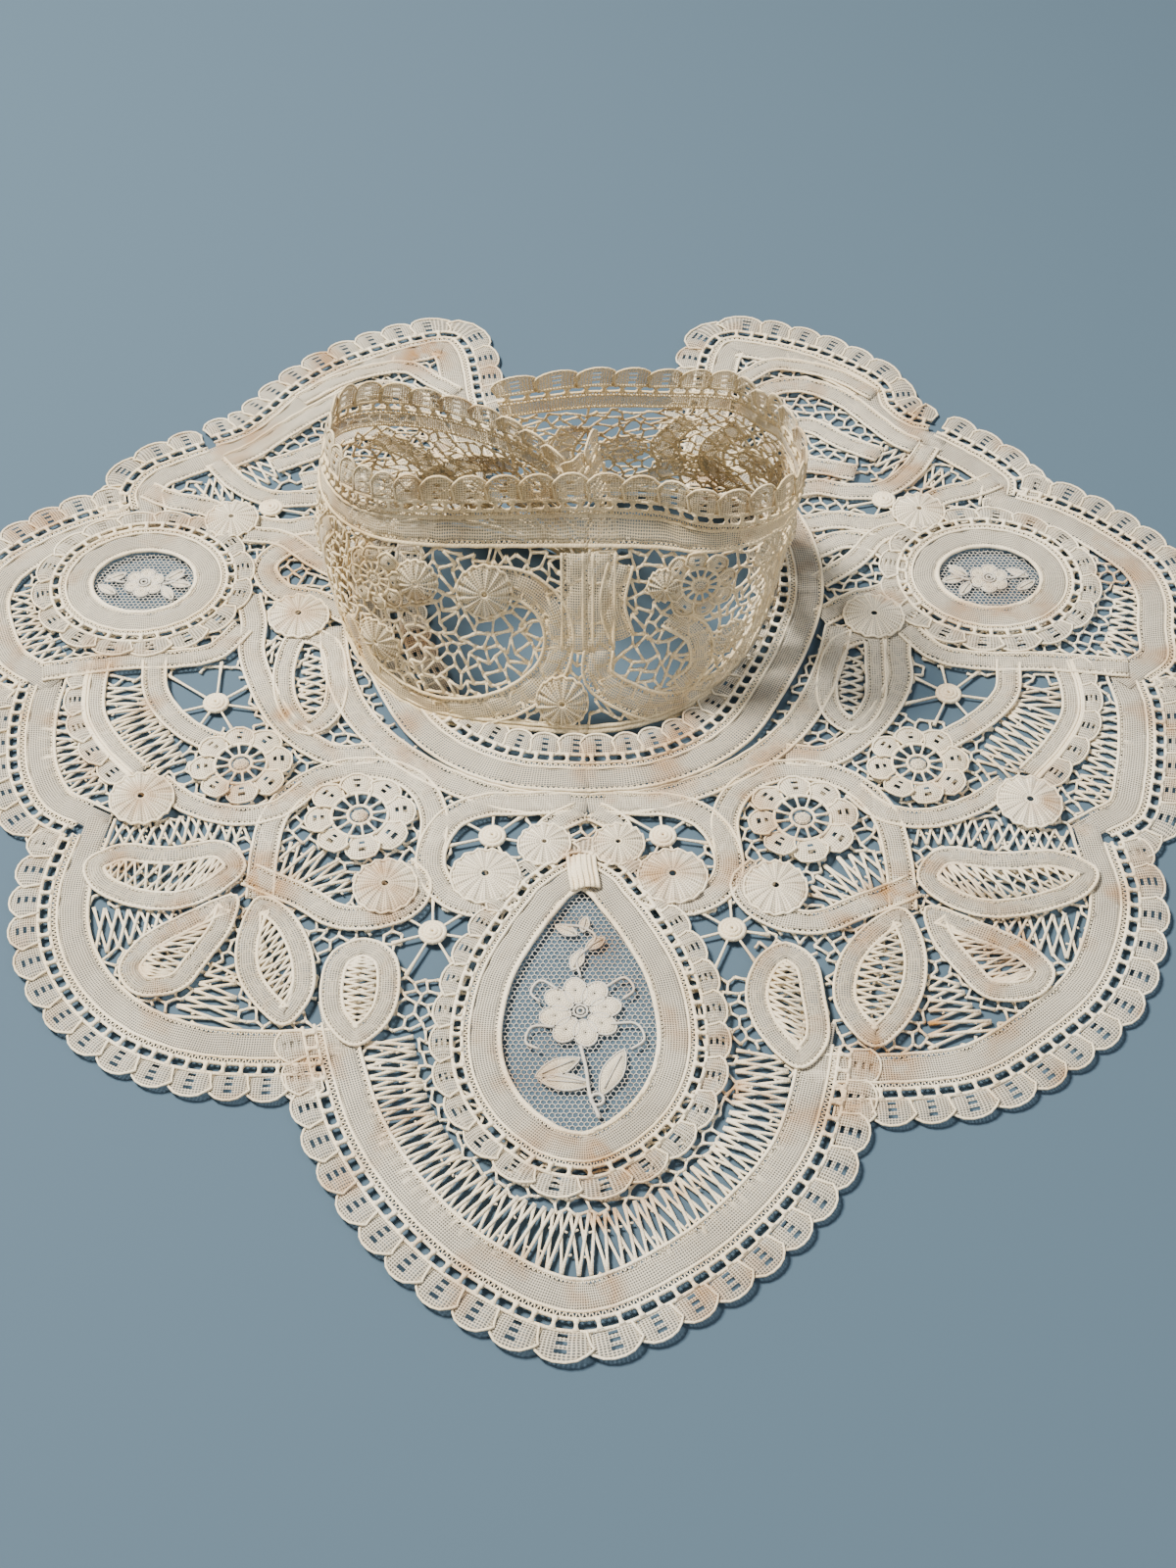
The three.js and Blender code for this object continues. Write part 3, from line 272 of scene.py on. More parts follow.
def smooth(points: Points, closed: bool = False, step: float = 1.0) -> np.ndarray:
    """Even samples of the smooth curve through some points.

    Args:
        points: the points that the curve goes through.
        closed: whether it comes back to its start.
        step: distance between samples, in mm.

    Returns:
        An (n, 2) array; a closed curve doesn't repeat its first sample.
    """
    given = np.array(points, float)
    if closed:
        padded = np.vstack([given[-1], given, given[:2]])
    else:
        padded = np.vstack([2 * given[0] - given[1], given, 2 * given[-1] - given[-2]])
    dense = []
    for x0, x1, x2, x3 in zip(padded, padded[1:], padded[2:], padded[3:]):
        d0, d1, d2 = (max(math.sqrt(np.hypot(*(b - a))), 1e-4) for a, b in ((x0, x1), (x1, x2), (x2, x3)))
        m1 = ((x1 - x0) / d0 - (x2 - x0) / (d0 + d1) + (x2 - x1) / d1) * d1
        m2 = ((x2 - x1) / d1 - (x3 - x1) / (d1 + d2) + (x3 - x2) / d2) * d1
        t = np.linspace(0, 1, 24, endpoint=False)[:, None]
        dense.append((2 * t**3 - 3 * t**2 + 1) * x1 + (t**3 - 2 * t**2 + t) * m1
                     + (3 * t**2 - 2 * t**3) * x2 + (t**3 - t**2) * m2)
    dense.append(given[:1] if closed else given[-1:])
    line = np.vstack(dense)
    run = np.concatenate([[0], np.cumsum(np.hypot(*np.diff(line, axis=0).T))])
    count = max(8, round(run[-1] / step))
    at = np.linspace(0, run[-1], count + 1)
    even = np.stack([np.interp(at, run, line[:, k]) for k in (0, 1)], 1)
    return even[:-1] if closed else even


def inside(polygon: np.ndarray, points: np.ndarray) -> np.ndarray:
    """Tells which points lie inside a polygon.

    Args:
        polygon: its corners, an (n, 2) array.
        points: the points, an (m, 2) array.

    Returns:
        An array of m truth values.
    """
    x, y = points[:, 0], points[:, 1]
    found = np.zeros(len(points), bool)
    for (x1, y1), (x2, y2) in zip(polygon, np.roll(polygon, -1, 0)):
        cross = (y1 > y) != (y2 > y)
        found ^= cross & (x < (x2 - x1) * (y - y1) / ((y2 - y1) or 1e-9) + x1)
    return found


def signed_area(outline: np.ndarray) -> float:
    """Area of an outline, positive where it runs anticlockwise."""
    x, y = np.array(outline, float).T
    return float((x * np.roll(y, -1) - np.roll(x, -1) * y).sum() / 2)


@dataclass
class Run:
    """A smooth line on the cloth, measured along its length; positive offsets lie on its left."""

    points: Points
    closed: bool = False

    def __post_init__(self) -> None:
        """Smooths the points and measures the line."""
        line = smooth(self.points, self.closed)
        if self.closed:
            ahead = np.roll(line, -2, 0) - np.roll(line, 2, 0)
        else:
            ahead = np.gradient(line, axis=0)
        ahead /= np.hypot(*ahead.T)[:, None]
        normal = np.stack([-ahead[:, 1], ahead[:, 0]], 1)
        self.loop = np.vstack([line, line[:1]]) if self.closed else line
        self.normal = np.vstack([normal, normal[:1]]) if self.closed else normal
        self.at = np.concatenate([[0], np.cumsum(np.hypot(*np.diff(self.loop, axis=0).T))])

    @property
    def length(self) -> float:
        """Length of the line in mm."""
        return float(self.at[-1])

    def beside(self, along: np.ndarray, off: np.ndarray) -> np.ndarray:
        """Finds places beside the line; beyond an open end it runs straight on.

        Args:
            along: distances along the line.
            off: offsets to its left, of a shape that goes with along.

        Returns:
            An (..., 2) array of places.
        """
        along, off = np.broadcast_arrays(np.asarray(along, float), np.asarray(off, float))
        where = along % self.length if self.closed else along
        place = np.stack([np.interp(where, self.at, self.loop[:, k]) for k in (0, 1)], -1)
        if not self.closed:
            over = np.where(along < 0, along, np.where(along > self.length, along - self.length, 0))
            ends = np.where(along[..., None] < 0, self.normal[0], self.normal[-1])
            place = place + over[..., None] * np.stack([ends[..., 1], -ends[..., 0]], -1)
        normal = np.stack([np.interp(where, self.at, self.normal[:, k]) for k in (0, 1)], -1)
        normal /= np.linalg.norm(normal, axis=-1, keepdims=True)
        return place + normal * off[..., None]

    def length_at(self, off: float) -> float:
        """Length in mm of the line that runs beside this one at an offset."""
        turns = np.unwrap(np.arctan2(self.normal[:, 1], self.normal[:, 0]))
        return self.length - float(turns[-1] - turns[0]) * off

    def steps(self, step: float) -> np.ndarray:
        """Even distances along the line, about one step apart."""
        return np.linspace(0, self.length, max(3, round(self.length / step)) + 1)


@dataclass
class Table:
    """The flat surface that the yoke lies on; nothing is laid lower than clear mm above it."""

    clear: float = 0.05

    def __post_init__(self) -> None:
        """Finds how far the plan's own origin lies from the frame's."""
        low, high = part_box("net_front")
        self.shift = np.array([(low[k] + high[k]) / 2 / MM - NET_MIDDLE[k] for k in (0, 1)] + [0.0])

    def lay(self, local: np.ndarray) -> np.ndarray:
        """Turns (x, y, lift) in mm into places in metres."""
        return (np.maximum(local, [-1e3, -1e3, self.clear]) + self.shift) * MM


@dataclass
class Wall:
    """The leaning wall of the neck band: measured along it from the front centre, and up.

    Attributes:
        table: the table that it stands on.
        waist: height where it starts to lean freely.
        shoulder: height of the rim braid's edge line.
        rim: its height.
        reach: share of its lean that it has at the waist.
        centre: row of BAND_STATIONS at the front centre.
        middle: a place inside it.
        columns: places along its grid.
        rows: places up its grid.
    """

    table: Table
    waist: float = 57.0
    shoulder: float = 64.2
    rim: float = 80.0
    reach: float = 0.79
    centre: int = 12
    middle: tuple[float, float] = (-5.0, 50.0)
    columns: int = 1151
    rows: int = 41

    def __post_init__(self) -> None:
        """Works out the wall at a fine grid of places along and up."""
        stations = np.linspace(0, len(BAND_STATIONS) - 1, self.columns)
        height = np.linspace(0, self.rim, self.rows)[None, :]
        row = self.stations_at(stations)
        even = np.clip(row[:, 4], 0, 1)[:, None]
        upright = np.where(height < self.waist, self.reach * height / self.waist,
                           self.reach + (np.minimum(height, self.shoulder) - self.waist)
                           / (self.shoulder - self.waist) * (1 - self.reach))
        lean = upright + (height / self.rim - upright) * even
        place = row[:, None, :2] + (row[:, None, 2:4] - row[:, None, :2]) * lean[..., None]
        out = place - np.array(self.middle)
        out /= np.linalg.norm(out, axis=-1, keepdims=True)
        self.place = place + out * (row[:, 5:6] * np.sin(math.pi * height / self.rim))[..., None]
        level = self.place[:, self.rows // 3]
        self.along = np.concatenate([[0], np.cumsum(np.hypot(*np.diff(level, axis=0).T))])
        self.along -= np.interp(self.centre, stations, self.along)
        ahead = np.gradient(self.place, axis=0)
        ahead /= np.linalg.norm(ahead, axis=-1, keepdims=True)
        self.out = np.stack([ahead[..., 1], -ahead[..., 0]], -1)

    @staticmethod
    def stations_at(stations: np.ndarray) -> np.ndarray:
        """Reads the band's table between its rows, on a smooth curve.

        Args:
            stations: fractional row numbers.

        Returns:
            A row of BAND_STATIONS' columns for each.
        """
        i = np.minimum(stations.astype(int), len(BAND_STATIONS) - 2)
        t = (stations - i)[:, None]
        near = [BAND_STATIONS[np.clip(i + k, 0, len(BAND_STATIONS) - 1)] for k in (-1, 0, 1, 2)]
        pulls = [2 * t**2 - t**3 - t, 2 - 5 * t**2 + 3 * t**3, t + 4 * t**2 - 3 * t**3, t**3 - t**2]
        return sum(p * n for p, n in zip(pulls, near)) / 2

    @property
    def ends(self) -> tuple[float, float]:
        """Where the left and the right flap end, along the wall."""
        return float(self.along[0]), float(self.along[-1])

    def lay(self, local: np.ndarray) -> np.ndarray:
        """Turns places on the wall into places in the frame.

        Args:
            local: (along, height, lift) in mm, an (..., 3) array.

        Returns:
            Places in metres, of the same shape.
        """
        flat = local.reshape(-1, 3)
        last_column, last_row = len(self.along) - 1, self.rows - 1
        a = np.clip(np.interp(flat[:, 0], self.along, np.arange(len(self.along))), 0, last_column - 0.001)
        b = np.clip(flat[:, 1] / self.rim * last_row, 0, last_row - 0.001)
        i, j = a.astype(int), b.astype(int)
        ta, tb = (a - i)[:, None], (b - j)[:, None]

        def read(grid: np.ndarray) -> np.ndarray:
            """Reads a grid between its places.

            Args:
                grid: a value at each column and row of the wall.

            Returns:
                The value at each of the wanted places.
            """
            low = grid[i, j] * (1 - tb) + grid[i, j + 1] * tb
            high = grid[i + 1, j] * (1 - tb) + grid[i + 1, j + 1] * tb
            return low * (1 - ta) + high * ta

        spot = read(self.place) + read(self.out) * flat[:, 2:3]
        laid = np.column_stack([spot, np.maximum(flat[:, 1], 0.3)]) + self.table.shift
        return (laid * MM).reshape(local.shape)


@dataclass
class Graph:
    """The nodes of one material, with a short way to add each kind."""

    made: bpy.types.Material

    def __post_init__(self) -> None:
        """Turns the nodes on, and finds the shader and the coordinates."""
        self.made.use_nodes = True
        self.nodes, self.links = self.made.node_tree.nodes, self.made.node_tree.links
        self.shader = self.nodes["Principled BSDF"]
        self.coords = self.nodes.new("ShaderNodeTexCoord").outputs

    def noise(self, scale: float, detail: float) -> bpy.types.NodeSocket:
        """Adds a noise on Object coordinates.

        Args:
            scale: its scale, per metre.
            detail: how many finer noises are added to it.

        Returns:
            Its socket.
        """
        node = self.nodes.new("ShaderNodeTexNoise")
        node.inputs["Scale"].default_value = scale
        node.inputs["Detail"].default_value = detail
        self.links.new(self.coords["Object"], node.inputs["Vector"])
        return node.outputs["Fac"]

    def wave(self, direction: str, pitch: float) -> bpy.types.NodeSocket:
        """Adds threads on the cloth's own UV.

        Args:
            direction: which way they are counted.
            pitch: their pitch in mm.

        Returns:
            The socket of how far the cloth is under a thread.
        """
        node = self.nodes.new("ShaderNodeTexWave")
        node.bands_direction = direction
        node.inputs["Scale"].default_value = WAVE_SCALE / pitch
        node.inputs["Distortion"].default_value = 1.2
        node.inputs["Detail"].default_value = 1.0
        self.links.new(self.coords["UV"], node.inputs["Vector"])
        return node.outputs["Fac"]

    def ramp(self, value: bpy.types.NodeSocket, low: float, high: float, top: float = 1.0,
             foot: float = 0.0) -> bpy.types.NodeSocket:
        """Spreads a value.

        Args:
            value: the socket that gives it.
            low: value that becomes foot.
            high: value that becomes top.
            top: result at and above high.
            foot: result at and below low.

        Returns:
            The result's socket.
        """
        node = self.nodes.new("ShaderNodeMapRange")
        for name, number in (("From Min", low), ("From Max", high), ("To Min", foot), ("To Max", top)):
            node.inputs[name].default_value = number
        self.links.new(value, node.inputs["Value"])
        return node.outputs["Result"]

    def both(self, operation: str, first: bpy.types.NodeSocket,
             second: bpy.types.NodeSocket) -> bpy.types.NodeSocket:
        """Joins two values.

        Args:
            operation: the Math node's operation.
            first: its first value.
            second: its second value.

        Returns:
            The result's socket.
        """
        node = self.nodes.new("ShaderNodeMath")
        node.operation = operation
        self.links.new(first, node.inputs[0])
        self.links.new(second, node.inputs[1])
        return node.outputs[0]

    def mix(self, kind: str, share: bpy.types.NodeSocket | float, first: bpy.types.NodeSocket | Colour,
            second: bpy.types.NodeSocket | Colour) -> bpy.types.NodeSocket:
        """Mixes two colours.

        Args:
            kind: how they are blended.
            share: how much of the second there is.
            first: a socket or a colour.
            second: a socket or a colour.

        Returns:
            The mixed colour's socket.
        """
        node = self.nodes.new("ShaderNodeMix")
        node.data_type = "RGBA"
        node.blend_type = kind
        for socket, value in zip((node.inputs["Factor"], *node.inputs[6:8]), (share, first, second)):
            if isinstance(value, bpy.types.NodeSocket):
                self.links.new(value, socket)
            else:
                socket.default_value = value if isinstance(value, float) else (*value, 1.0)
        return node.outputs[2]

    def near(self, place: Sequence[float], radius: float) -> bpy.types.NodeSocket:
        """Adds a value that rises from 0 round a place to 1 at it.

        Args:
            place: the place in metres.
            radius: how far it reaches, in metres.

        Returns:
            The value's socket.
        """
        spot = self.nodes.new("ShaderNodeVectorMath")
        spot.operation = "DISTANCE"
        spot.inputs[1].default_value = place
        self.links.new(self.coords["Object"], spot.inputs[0])
        return self.ramp(spot.outputs["Value"], 1.1 * radius, 0.2 * radius)


@dataclass(frozen=True)
class Finish:
    """A cloth finish.

    Attributes:
        name: the material's name.
        slot: a slot name; not used.
        colour: its main colour.
        shade: the colour that it is mottled with.
        stain: the colour of its stains.
        weave: pitch of its threads in mm.
        gauze: how clear the holes between the threads are.
        twist: whether its threads lie askew, as in a cord.
        bump: how strongly the threads stand out.
        roughness: its roughness.
        between: the colour of the painted shade that darkens it between the threads.
        mottle: noise scale of the mottling.
        specks: noise scale within the set stains.
        blotches: noise scale of the faint stains all over.
        open_at: thread cover below which a hole is open.
        full_at: thread cover above which there is no hole.
    """

    name: str
    slot: str
    colour: Colour
    shade: Colour
    stain: Colour
    weave: float
    gauze: float = 0.0
    twist: bool = False
    bump: float = 0.25
    roughness: float = 0.88
    between: Colour = (0.62, 0.60, 0.56)
    mottle: float = 28.0
    specks: float = 140.0
    blotches: float = 48.0
    open_at: float = 0.54
    full_at: float = 0.93

    def aged(self, graph: Graph, shift: np.ndarray) -> bpy.types.NodeSocket:
        """Adds the stains.

        Args:
            graph: the material's nodes.
            shift: how far the plan's origin lies from the frame's, in mm.

        Returns:
            The socket of how stained the cloth is, from 0 to 1.
        """
        stains = None
        for x, y, radius in STAINS:
            near = graph.near(((x + shift[0]) * MM, (y + shift[1]) * MM, 0.0), radius * MM)
            stains = near if stains is None else graph.both("MAXIMUM", stains, near)
        large = graph.both("MULTIPLY", stains, graph.ramp(graph.noise(self.specks, 3.0), 0.34, 0.56))
        return graph.both("MAXIMUM", large, graph.ramp(graph.noise(self.blotches, 6.0), 0.53, 0.72, 0.7))

    def material(self, shift: np.ndarray) -> bpy.types.Material:
        """Makes the procedural material of this finish.

        Args:
            shift: how far the plan's origin lies from the frame's, in mm.

        Returns:
            A new node material.
        """
        graph = Graph(bpy.data.materials.new(self.name))
        shader = graph.shader
        along = graph.wave("X", self.weave)
        across = graph.wave("DIAGONAL" if self.twist else "Y", self.weave)
        threads = graph.both("MULTIPLY", along, across)
        mottled = graph.ramp(graph.noise(self.mottle, 4.0), 0.38, 0.68)
        colour = graph.mix("MIX", mottled, self.colour, self.shade)
        colour = graph.mix("MIX", self.aged(graph, shift), colour, self.stain)
        # Painted shade between the threads: where the threads dip, the colour is darkened towards between, at
        # half strength.
        depth = graph.mix("MIX", graph.ramp(threads, 0.0, 0.45), self.between, (1.0, 1.0, 1.0))
        graph.links.new(graph.mix("MULTIPLY", 0.5, colour, depth), shader.inputs["Base Color"])
        bump = graph.nodes.new("ShaderNodeBump")
        bump.inputs["Strength"].default_value = self.bump
        bump.inputs["Distance"].default_value = 0.0004
        graph.links.new(threads, bump.inputs["Height"])
        graph.links.new(bump.outputs["Normal"], shader.inputs["Normal"])
        if self.gauze:
            cover = graph.both("MAXIMUM", along, across)
            alpha = graph.ramp(cover, self.open_at, self.full_at, foot=1.0 - self.gauze)
            graph.links.new(alpha, shader.inputs["Alpha"])
        shader.inputs["Roughness"].default_value = self.roughness
        shader.inputs["Sheen Weight"].default_value = 0.25
        shader.inputs["Specular IOR Level"].default_value = 0.2
        return graph.made


WAVE_SCALE = 0.31416  # Scale of a wave texture that repeats once in 1 mm of UV
STAIN, STRAW_STAIN, STRAW_CORD_STAIN = (0.46, 0.22, 0.05), (0.40, 0.22, 0.07), (0.42, 0.24, 0.07)
# The braid's ivory tone is its own; the grey in both its colours is painted shade, standing in for the shadow
# and the dark floor seen through the gauze.
WOVEN_PAINTED_SHADE = Finish("woven_ivory_braid", "linen_tape", (0.66, 0.61, 0.50), (0.52, 0.47, 0.38), STAIN, 0.72, 0.9)
WORKED = Finish("worked_ivory_lace", "lace", (0.93, 0.85, 0.69), (0.78, 0.69, 0.52), STAIN, 0.72, 0.7)
# The tapes' ivory tone is their own; the grey in both their colours is painted shade, standing in for the
# shadow and the dark floor seen through the gauze.
TAPES_PAINTED_SHADE = Finish("woven_ivory_tapes", "lace", (0.70, 0.65, 0.54), (0.56, 0.51, 0.41), STAIN, 0.72, 0.85)
# The net's ivory tone is its own; the grey in both its colours is painted shade, standing in for the shadow
# seen through the net.
NETTING_PAINTED_SHADE = Finish("fine_ivory_net", "net", (0.70, 0.68, 0.62), (0.60, 0.57, 0.51), STAIN, 0.5)
CREAM = Finish("cream_cord", "cream_cord", (1.0, 0.91, 0.72), (0.90, 0.76, 0.52), STAIN, 0.7, twist=True)
STRAW = Finish("straw_braid", "straw_tape", (0.82, 0.71, 0.50), (0.68, 0.55, 0.33), STRAW_STAIN, 0.72, 0.85)
STRAW_CORD = Finish("straw_cord", "straw_tape", (0.90, 0.76, 0.50), (0.78, 0.60, 0.32), STRAW_CORD_STAIN, 0.7,
                    twist=True)
FINISHES = (WOVEN_PAINTED_SHADE, WORKED, TAPES_PAINTED_SHADE, NETTING_PAINTED_SHADE, CREAM, STRAW, STRAW_CORD)


@dataclass(frozen=True)
class Motif:
    """A small shape that is modelled once and copied.

    Attributes:
        points: its points in mm.
        faces: its faces of four corners.
        outline: its free edge.
        flat: flat area in square mm that it is cut from.
    """

    points: np.ndarray
    faces: np.ndarray
    outline: np.ndarray
    flat: float


@dataclass(frozen=True)
class ScallopPattern:
    """A rounded scallop of gathered braid, on its base line and pointing to +Y.

    Attributes:
        width: its width.
        depth: how far it reaches.
        flare: how much wider it is at its tip than at its base.
        tip: how rounded its tip is.
        crown: how far its middle rises.
        pleats: how many pleats it is gathered in.
        columns: faces across it.
        rows: faces up it.
        holes: the rows of its middle column that are pinholes.
        cloth: its thickness.
    """

    width: float = SCALLOP
    depth: float = 8.8
    flare: float = 0.22
    tip: float = 0.42
    crown: float = 0.9
    pleats: int = 3
    columns: int = 7
    rows: int = 8
    holes: tuple[int, ...] = (1, 3, 5)
    cloth: float = CLOTH

    def spread(self, x: np.ndarray, y: np.ndarray) -> np.ndarray:
        """Spreads shares over the scallop.

        Args:
            x: shares across it, from -0.5 to 0.5.
            y: shares up it, from 0 to 1.

        Returns:
            Places in mm, an (..., 3) array.
        """
        x = np.sin(math.pi * x) / 2
        s = self.width * x * (1 - self.flare / 2 + self.flare * y)
        v = self.depth * y * (1 - self.tip * np.abs(2 * x) ** 2.6 * y)
        dome = np.sin(math.pi * np.clip(y * 0.92 + 0.06, 0, 1)) * (1 - np.abs(2 * x) ** 4)
        pleat = 0.24 * np.cos(2 * math.pi * self.pleats * x) * (0.3 + y)
        return np.stack([s, v, 0.25 + self.crown * dome + pleat], -1)

    def pierce(self, made: bpy.types.Object) -> None:
        """Deletes the faces where the pinholes are.

        Args:
            made: the scallop's flat grid.
        """
        bpy.ops.object.mode_set(mode="EDIT")
        bpy.ops.mesh.select_mode(type="FACE")
        bpy.ops.mesh.select_all(action="DESELECT")
        bpy.ops.object.mode_set(mode="OBJECT")
        for polygon in made.data.polygons:
            column = int((polygon.center.x + 0.5) * self.columns)
            row = int((polygon.center.y + 0.5) * self.rows)
            polygon.select = column == self.columns // 2 and row in self.holes
        bpy.ops.object.mode_set(mode="EDIT")
        bpy.ops.mesh.delete(type="FACE")
        bpy.ops.object.mode_set(mode="OBJECT")

    def outline(self) -> np.ndarray:
        """Finds the scallop's free edge.

        Returns:
            Places in mm from one foot over the tip to the other, an (n, 3) array.
        """
        side, top = np.linspace(0, 1, 5), np.linspace(-0.5, 0.5, 10)[1:-1]
        x = np.concatenate([np.full(5, -0.5), top, np.full(5, 0.5)])
        return self.spread(x, np.concatenate([side, np.ones(8), side[::-1]]))

    def model(self) -> Motif:
        """Models the scallop from a grid, with its pinholes and its thickness.

        Returns:
            The motif, with the flat area that it is cut from.
        """
        bpy.ops.object.select_all(action="DESELECT")
        bpy.ops.mesh.primitive_grid_add(x_subdivisions=self.columns, y_subdivisions=self.rows, size=1)
        made = bpy.context.object
        self.pierce(made)
        for vertex in made.data.vertices:
            vertex.co = self.spread(np.array(vertex.co.x), np.array(vertex.co.y + 0.5))
        shell = made.modifiers.new("cloth", "SOLIDIFY")
        shell.thickness = self.cloth
        shell.offset = -1
        bpy.ops.object.modifier_apply(modifier=shell.name)
        points = np.array([v.co for v in made.data.vertices])
        faces = np.array([list(p.vertices) for p in made.data.polygons])
        bpy.data.meshes.remove(made.data)
        outline = self.outline()
        pinholes = len(self.holes) * self.width / self.columns * self.depth / self.rows
        return Motif(points, faces, outline, abs(signed_area(outline[:, :2])) - pinholes)


@dataclass
class Work:
    """Lace in the making, gathered on a surface into one mesh.

    Attributes:
        surface: what it is laid on.
        edges: the cord work that goes with this cloth, where it is cloth.
        cut: flat area in square mm that the design takes.
    """

    surface: Table | Wall
    edges: "Work | None" = None
    points: list[np.ndarray] = field(default_factory=list)
    faces: list[np.ndarray] = field(default_factory=list)
    uvs: list[np.ndarray] = field(default_factory=list)
    count: int = 0
    cut: float = 0.0

    def add(self, points: np.ndarray, faces: np.ndarray, uvs: np.ndarray) -> None:
        """Adds a shape.

        Args:
            points: its points in mm on the surface.
            faces: its faces of four corners.
            uvs: the UV of each face's corners, in mm.
        """
        self.points.append(self.surface.lay(points.reshape(-1, 3)))
        self.faces.append(faces.reshape(-1, 4) + self.count)
        self.uvs.append(uvs.reshape(-1, 4, 2))
        self.count += points.size // 3

    def sweep(self, rings: np.ndarray, u: np.ndarray, v: np.ndarray, loop: bool = False) -> None:
        """Adds closed tubes of one count of rings and of points round each ring.

        Args:
            rings: an (items, rings, corners, 3) array; the corners run from the left over the top.
            u: an (items, rings) array of distances along.
            v: distances round, one more than there are corners.
            loop: whether each tube's end joins its start.
        """
        items, count, sides, _ = rings.shape
        r = np.arange(count if loop else count - 1)[:, None]
        c = np.arange(sides)[None, :]
        ahead, beside = (r + 1) % count, (c + 1) % sides
        one = np.stack([r * sides + c, r * sides + beside, ahead * sides + beside, ahead * sides + c], -1)
        one = one.reshape(-1, 4)
        faces = [(one[None] + (np.arange(items) * count * sides)[:, None, None]).reshape(-1, 4)]
        un = np.concatenate([u, u[:, -1:] + (u[:, 1:2] - u[:, :1])], 1) if loop else u
        shape = (items, len(r), sides)
        low = np.broadcast_to(un[:, : len(r), None], shape)
        high = np.broadcast_to(un[:, 1: len(r) + 1, None], shape)
        near = np.broadcast_to(v[:-1], shape)
        far = np.broadcast_to(v[1:], shape)
        uvs = [np.stack([low, near, low, far, high, far, high, near], -1).reshape(-1, 4, 2)]
        if not loop:
            i = np.arange(sides // 2 - 1)
            end = np.stack([i, i + 1, sides - 2 - i, sides - 1 - i], -1)
            caps = np.vstack([end[:, ::-1], end + (count - 1) * sides])
            faces.append((caps[None] + (np.arange(items) * count * sides)[:, None, None]).reshape(-1, 4))
            uvs.append(np.zeros((len(caps) * items, 4, 2)))
        self.add(rings, np.vstack(faces), np.vstack(uvs))

    def tubes(self, paths: np.ndarray, radius: float, sides: int = 4, swell: Sequence[float] | None = None,
              loop: bool = False) -> None:
        """Adds cords along paths.

        Args:
            paths: an (items, points, 3) array.
            radius: the cords' radius.
            sides: how many sides they have.
            swell: share of the radius at each point, where it isn't even.
            loop: whether each cord's end joins its start.
        """
        if loop:
            ahead = np.roll(paths, -1, 1) - np.roll(paths, 1, 1)
        else:
            ahead = np.gradient(paths, axis=1)
        ahead = ahead / np.maximum(np.linalg.norm(ahead, axis=-1, keepdims=True), 1e-9)
        left = np.stack([-ahead[..., 1], ahead[..., 0], np.zeros(ahead.shape[:2])], -1)
        left /= np.maximum(np.linalg.norm(left, axis=-1, keepdims=True), 1e-9)
        up = np.cross(ahead, left)
        turn = (np.arange(sides) + 0.5) / sides * 2 * math.pi
        size = radius * (np.ones(paths.shape[1]) if swell is None else np.array(swell, float))
        ring = np.cos(turn)[:, None] * left[:, :, None] + np.sin(turn)[:, None] * up[:, :, None]
        rings = paths[:, :, None] + ring * size[:, None, None]
        step = np.linalg.norm(np.diff(paths, axis=1), axis=-1)
        u = np.concatenate([np.zeros((len(paths), 1)), np.cumsum(step, 1)], 1)
        self.sweep(rings, u, np.linspace(0, 2 * math.pi * radius, sides + 1), loop)

    def cord(self, run: Run, off: float, radius: float, lift: float, step: float = 2.0, sides: int = 6,
             span: tuple[float, float] | None = None) -> None:
        """Adds one cord beside a run.

        Args:
            run: the line that it follows.
            off: its offset to the line's left.
            radius: its radius.
            lift: its height.
            step: distance between its points.
            sides: how many sides it has.
            span: where it starts and ends along the run, where it isn't the whole.
        """
        if span is None:
            along = run.steps(step)
        else:
            along = np.linspace(*span, max(2, round((span[1] - span[0]) / step)) + 1)
        loop = run.closed and span is None
        along = along[:-1] if loop else along
        path = np.concatenate([run.beside(along, off), np.full((len(along), 1), lift)], 1)
        path[:, 2] += 0.12 * np.sin(along * 0.9)
        self.tubes(path[None], radius, sides, loop=loop)

    def bars(self, start: np.ndarray, end: np.ndarray, radius: float, swell: Sequence[float] | None = None,
             rise: float = 0.0) -> None:
        """Adds straight bars.

        Args:
            start: their starts, an (n, 3) array.
            end: their ends, an (n, 3) array.
            radius: their radius.
            swell: share of the radius at even points along each bar.
            rise: how far their middles rise, where they have a middle point.
        """
        if not len(start):
            return
        share = np.linspace(0, 1, 2 if swell is None else len(swell))[None, :, None]
        paths = start[:, None] * (1 - share) + end[:, None] * share
        paths[..., 2] += rise * np.sin(math.pi * share[..., 0])
        self.tubes(paths, radius, 4, swell)

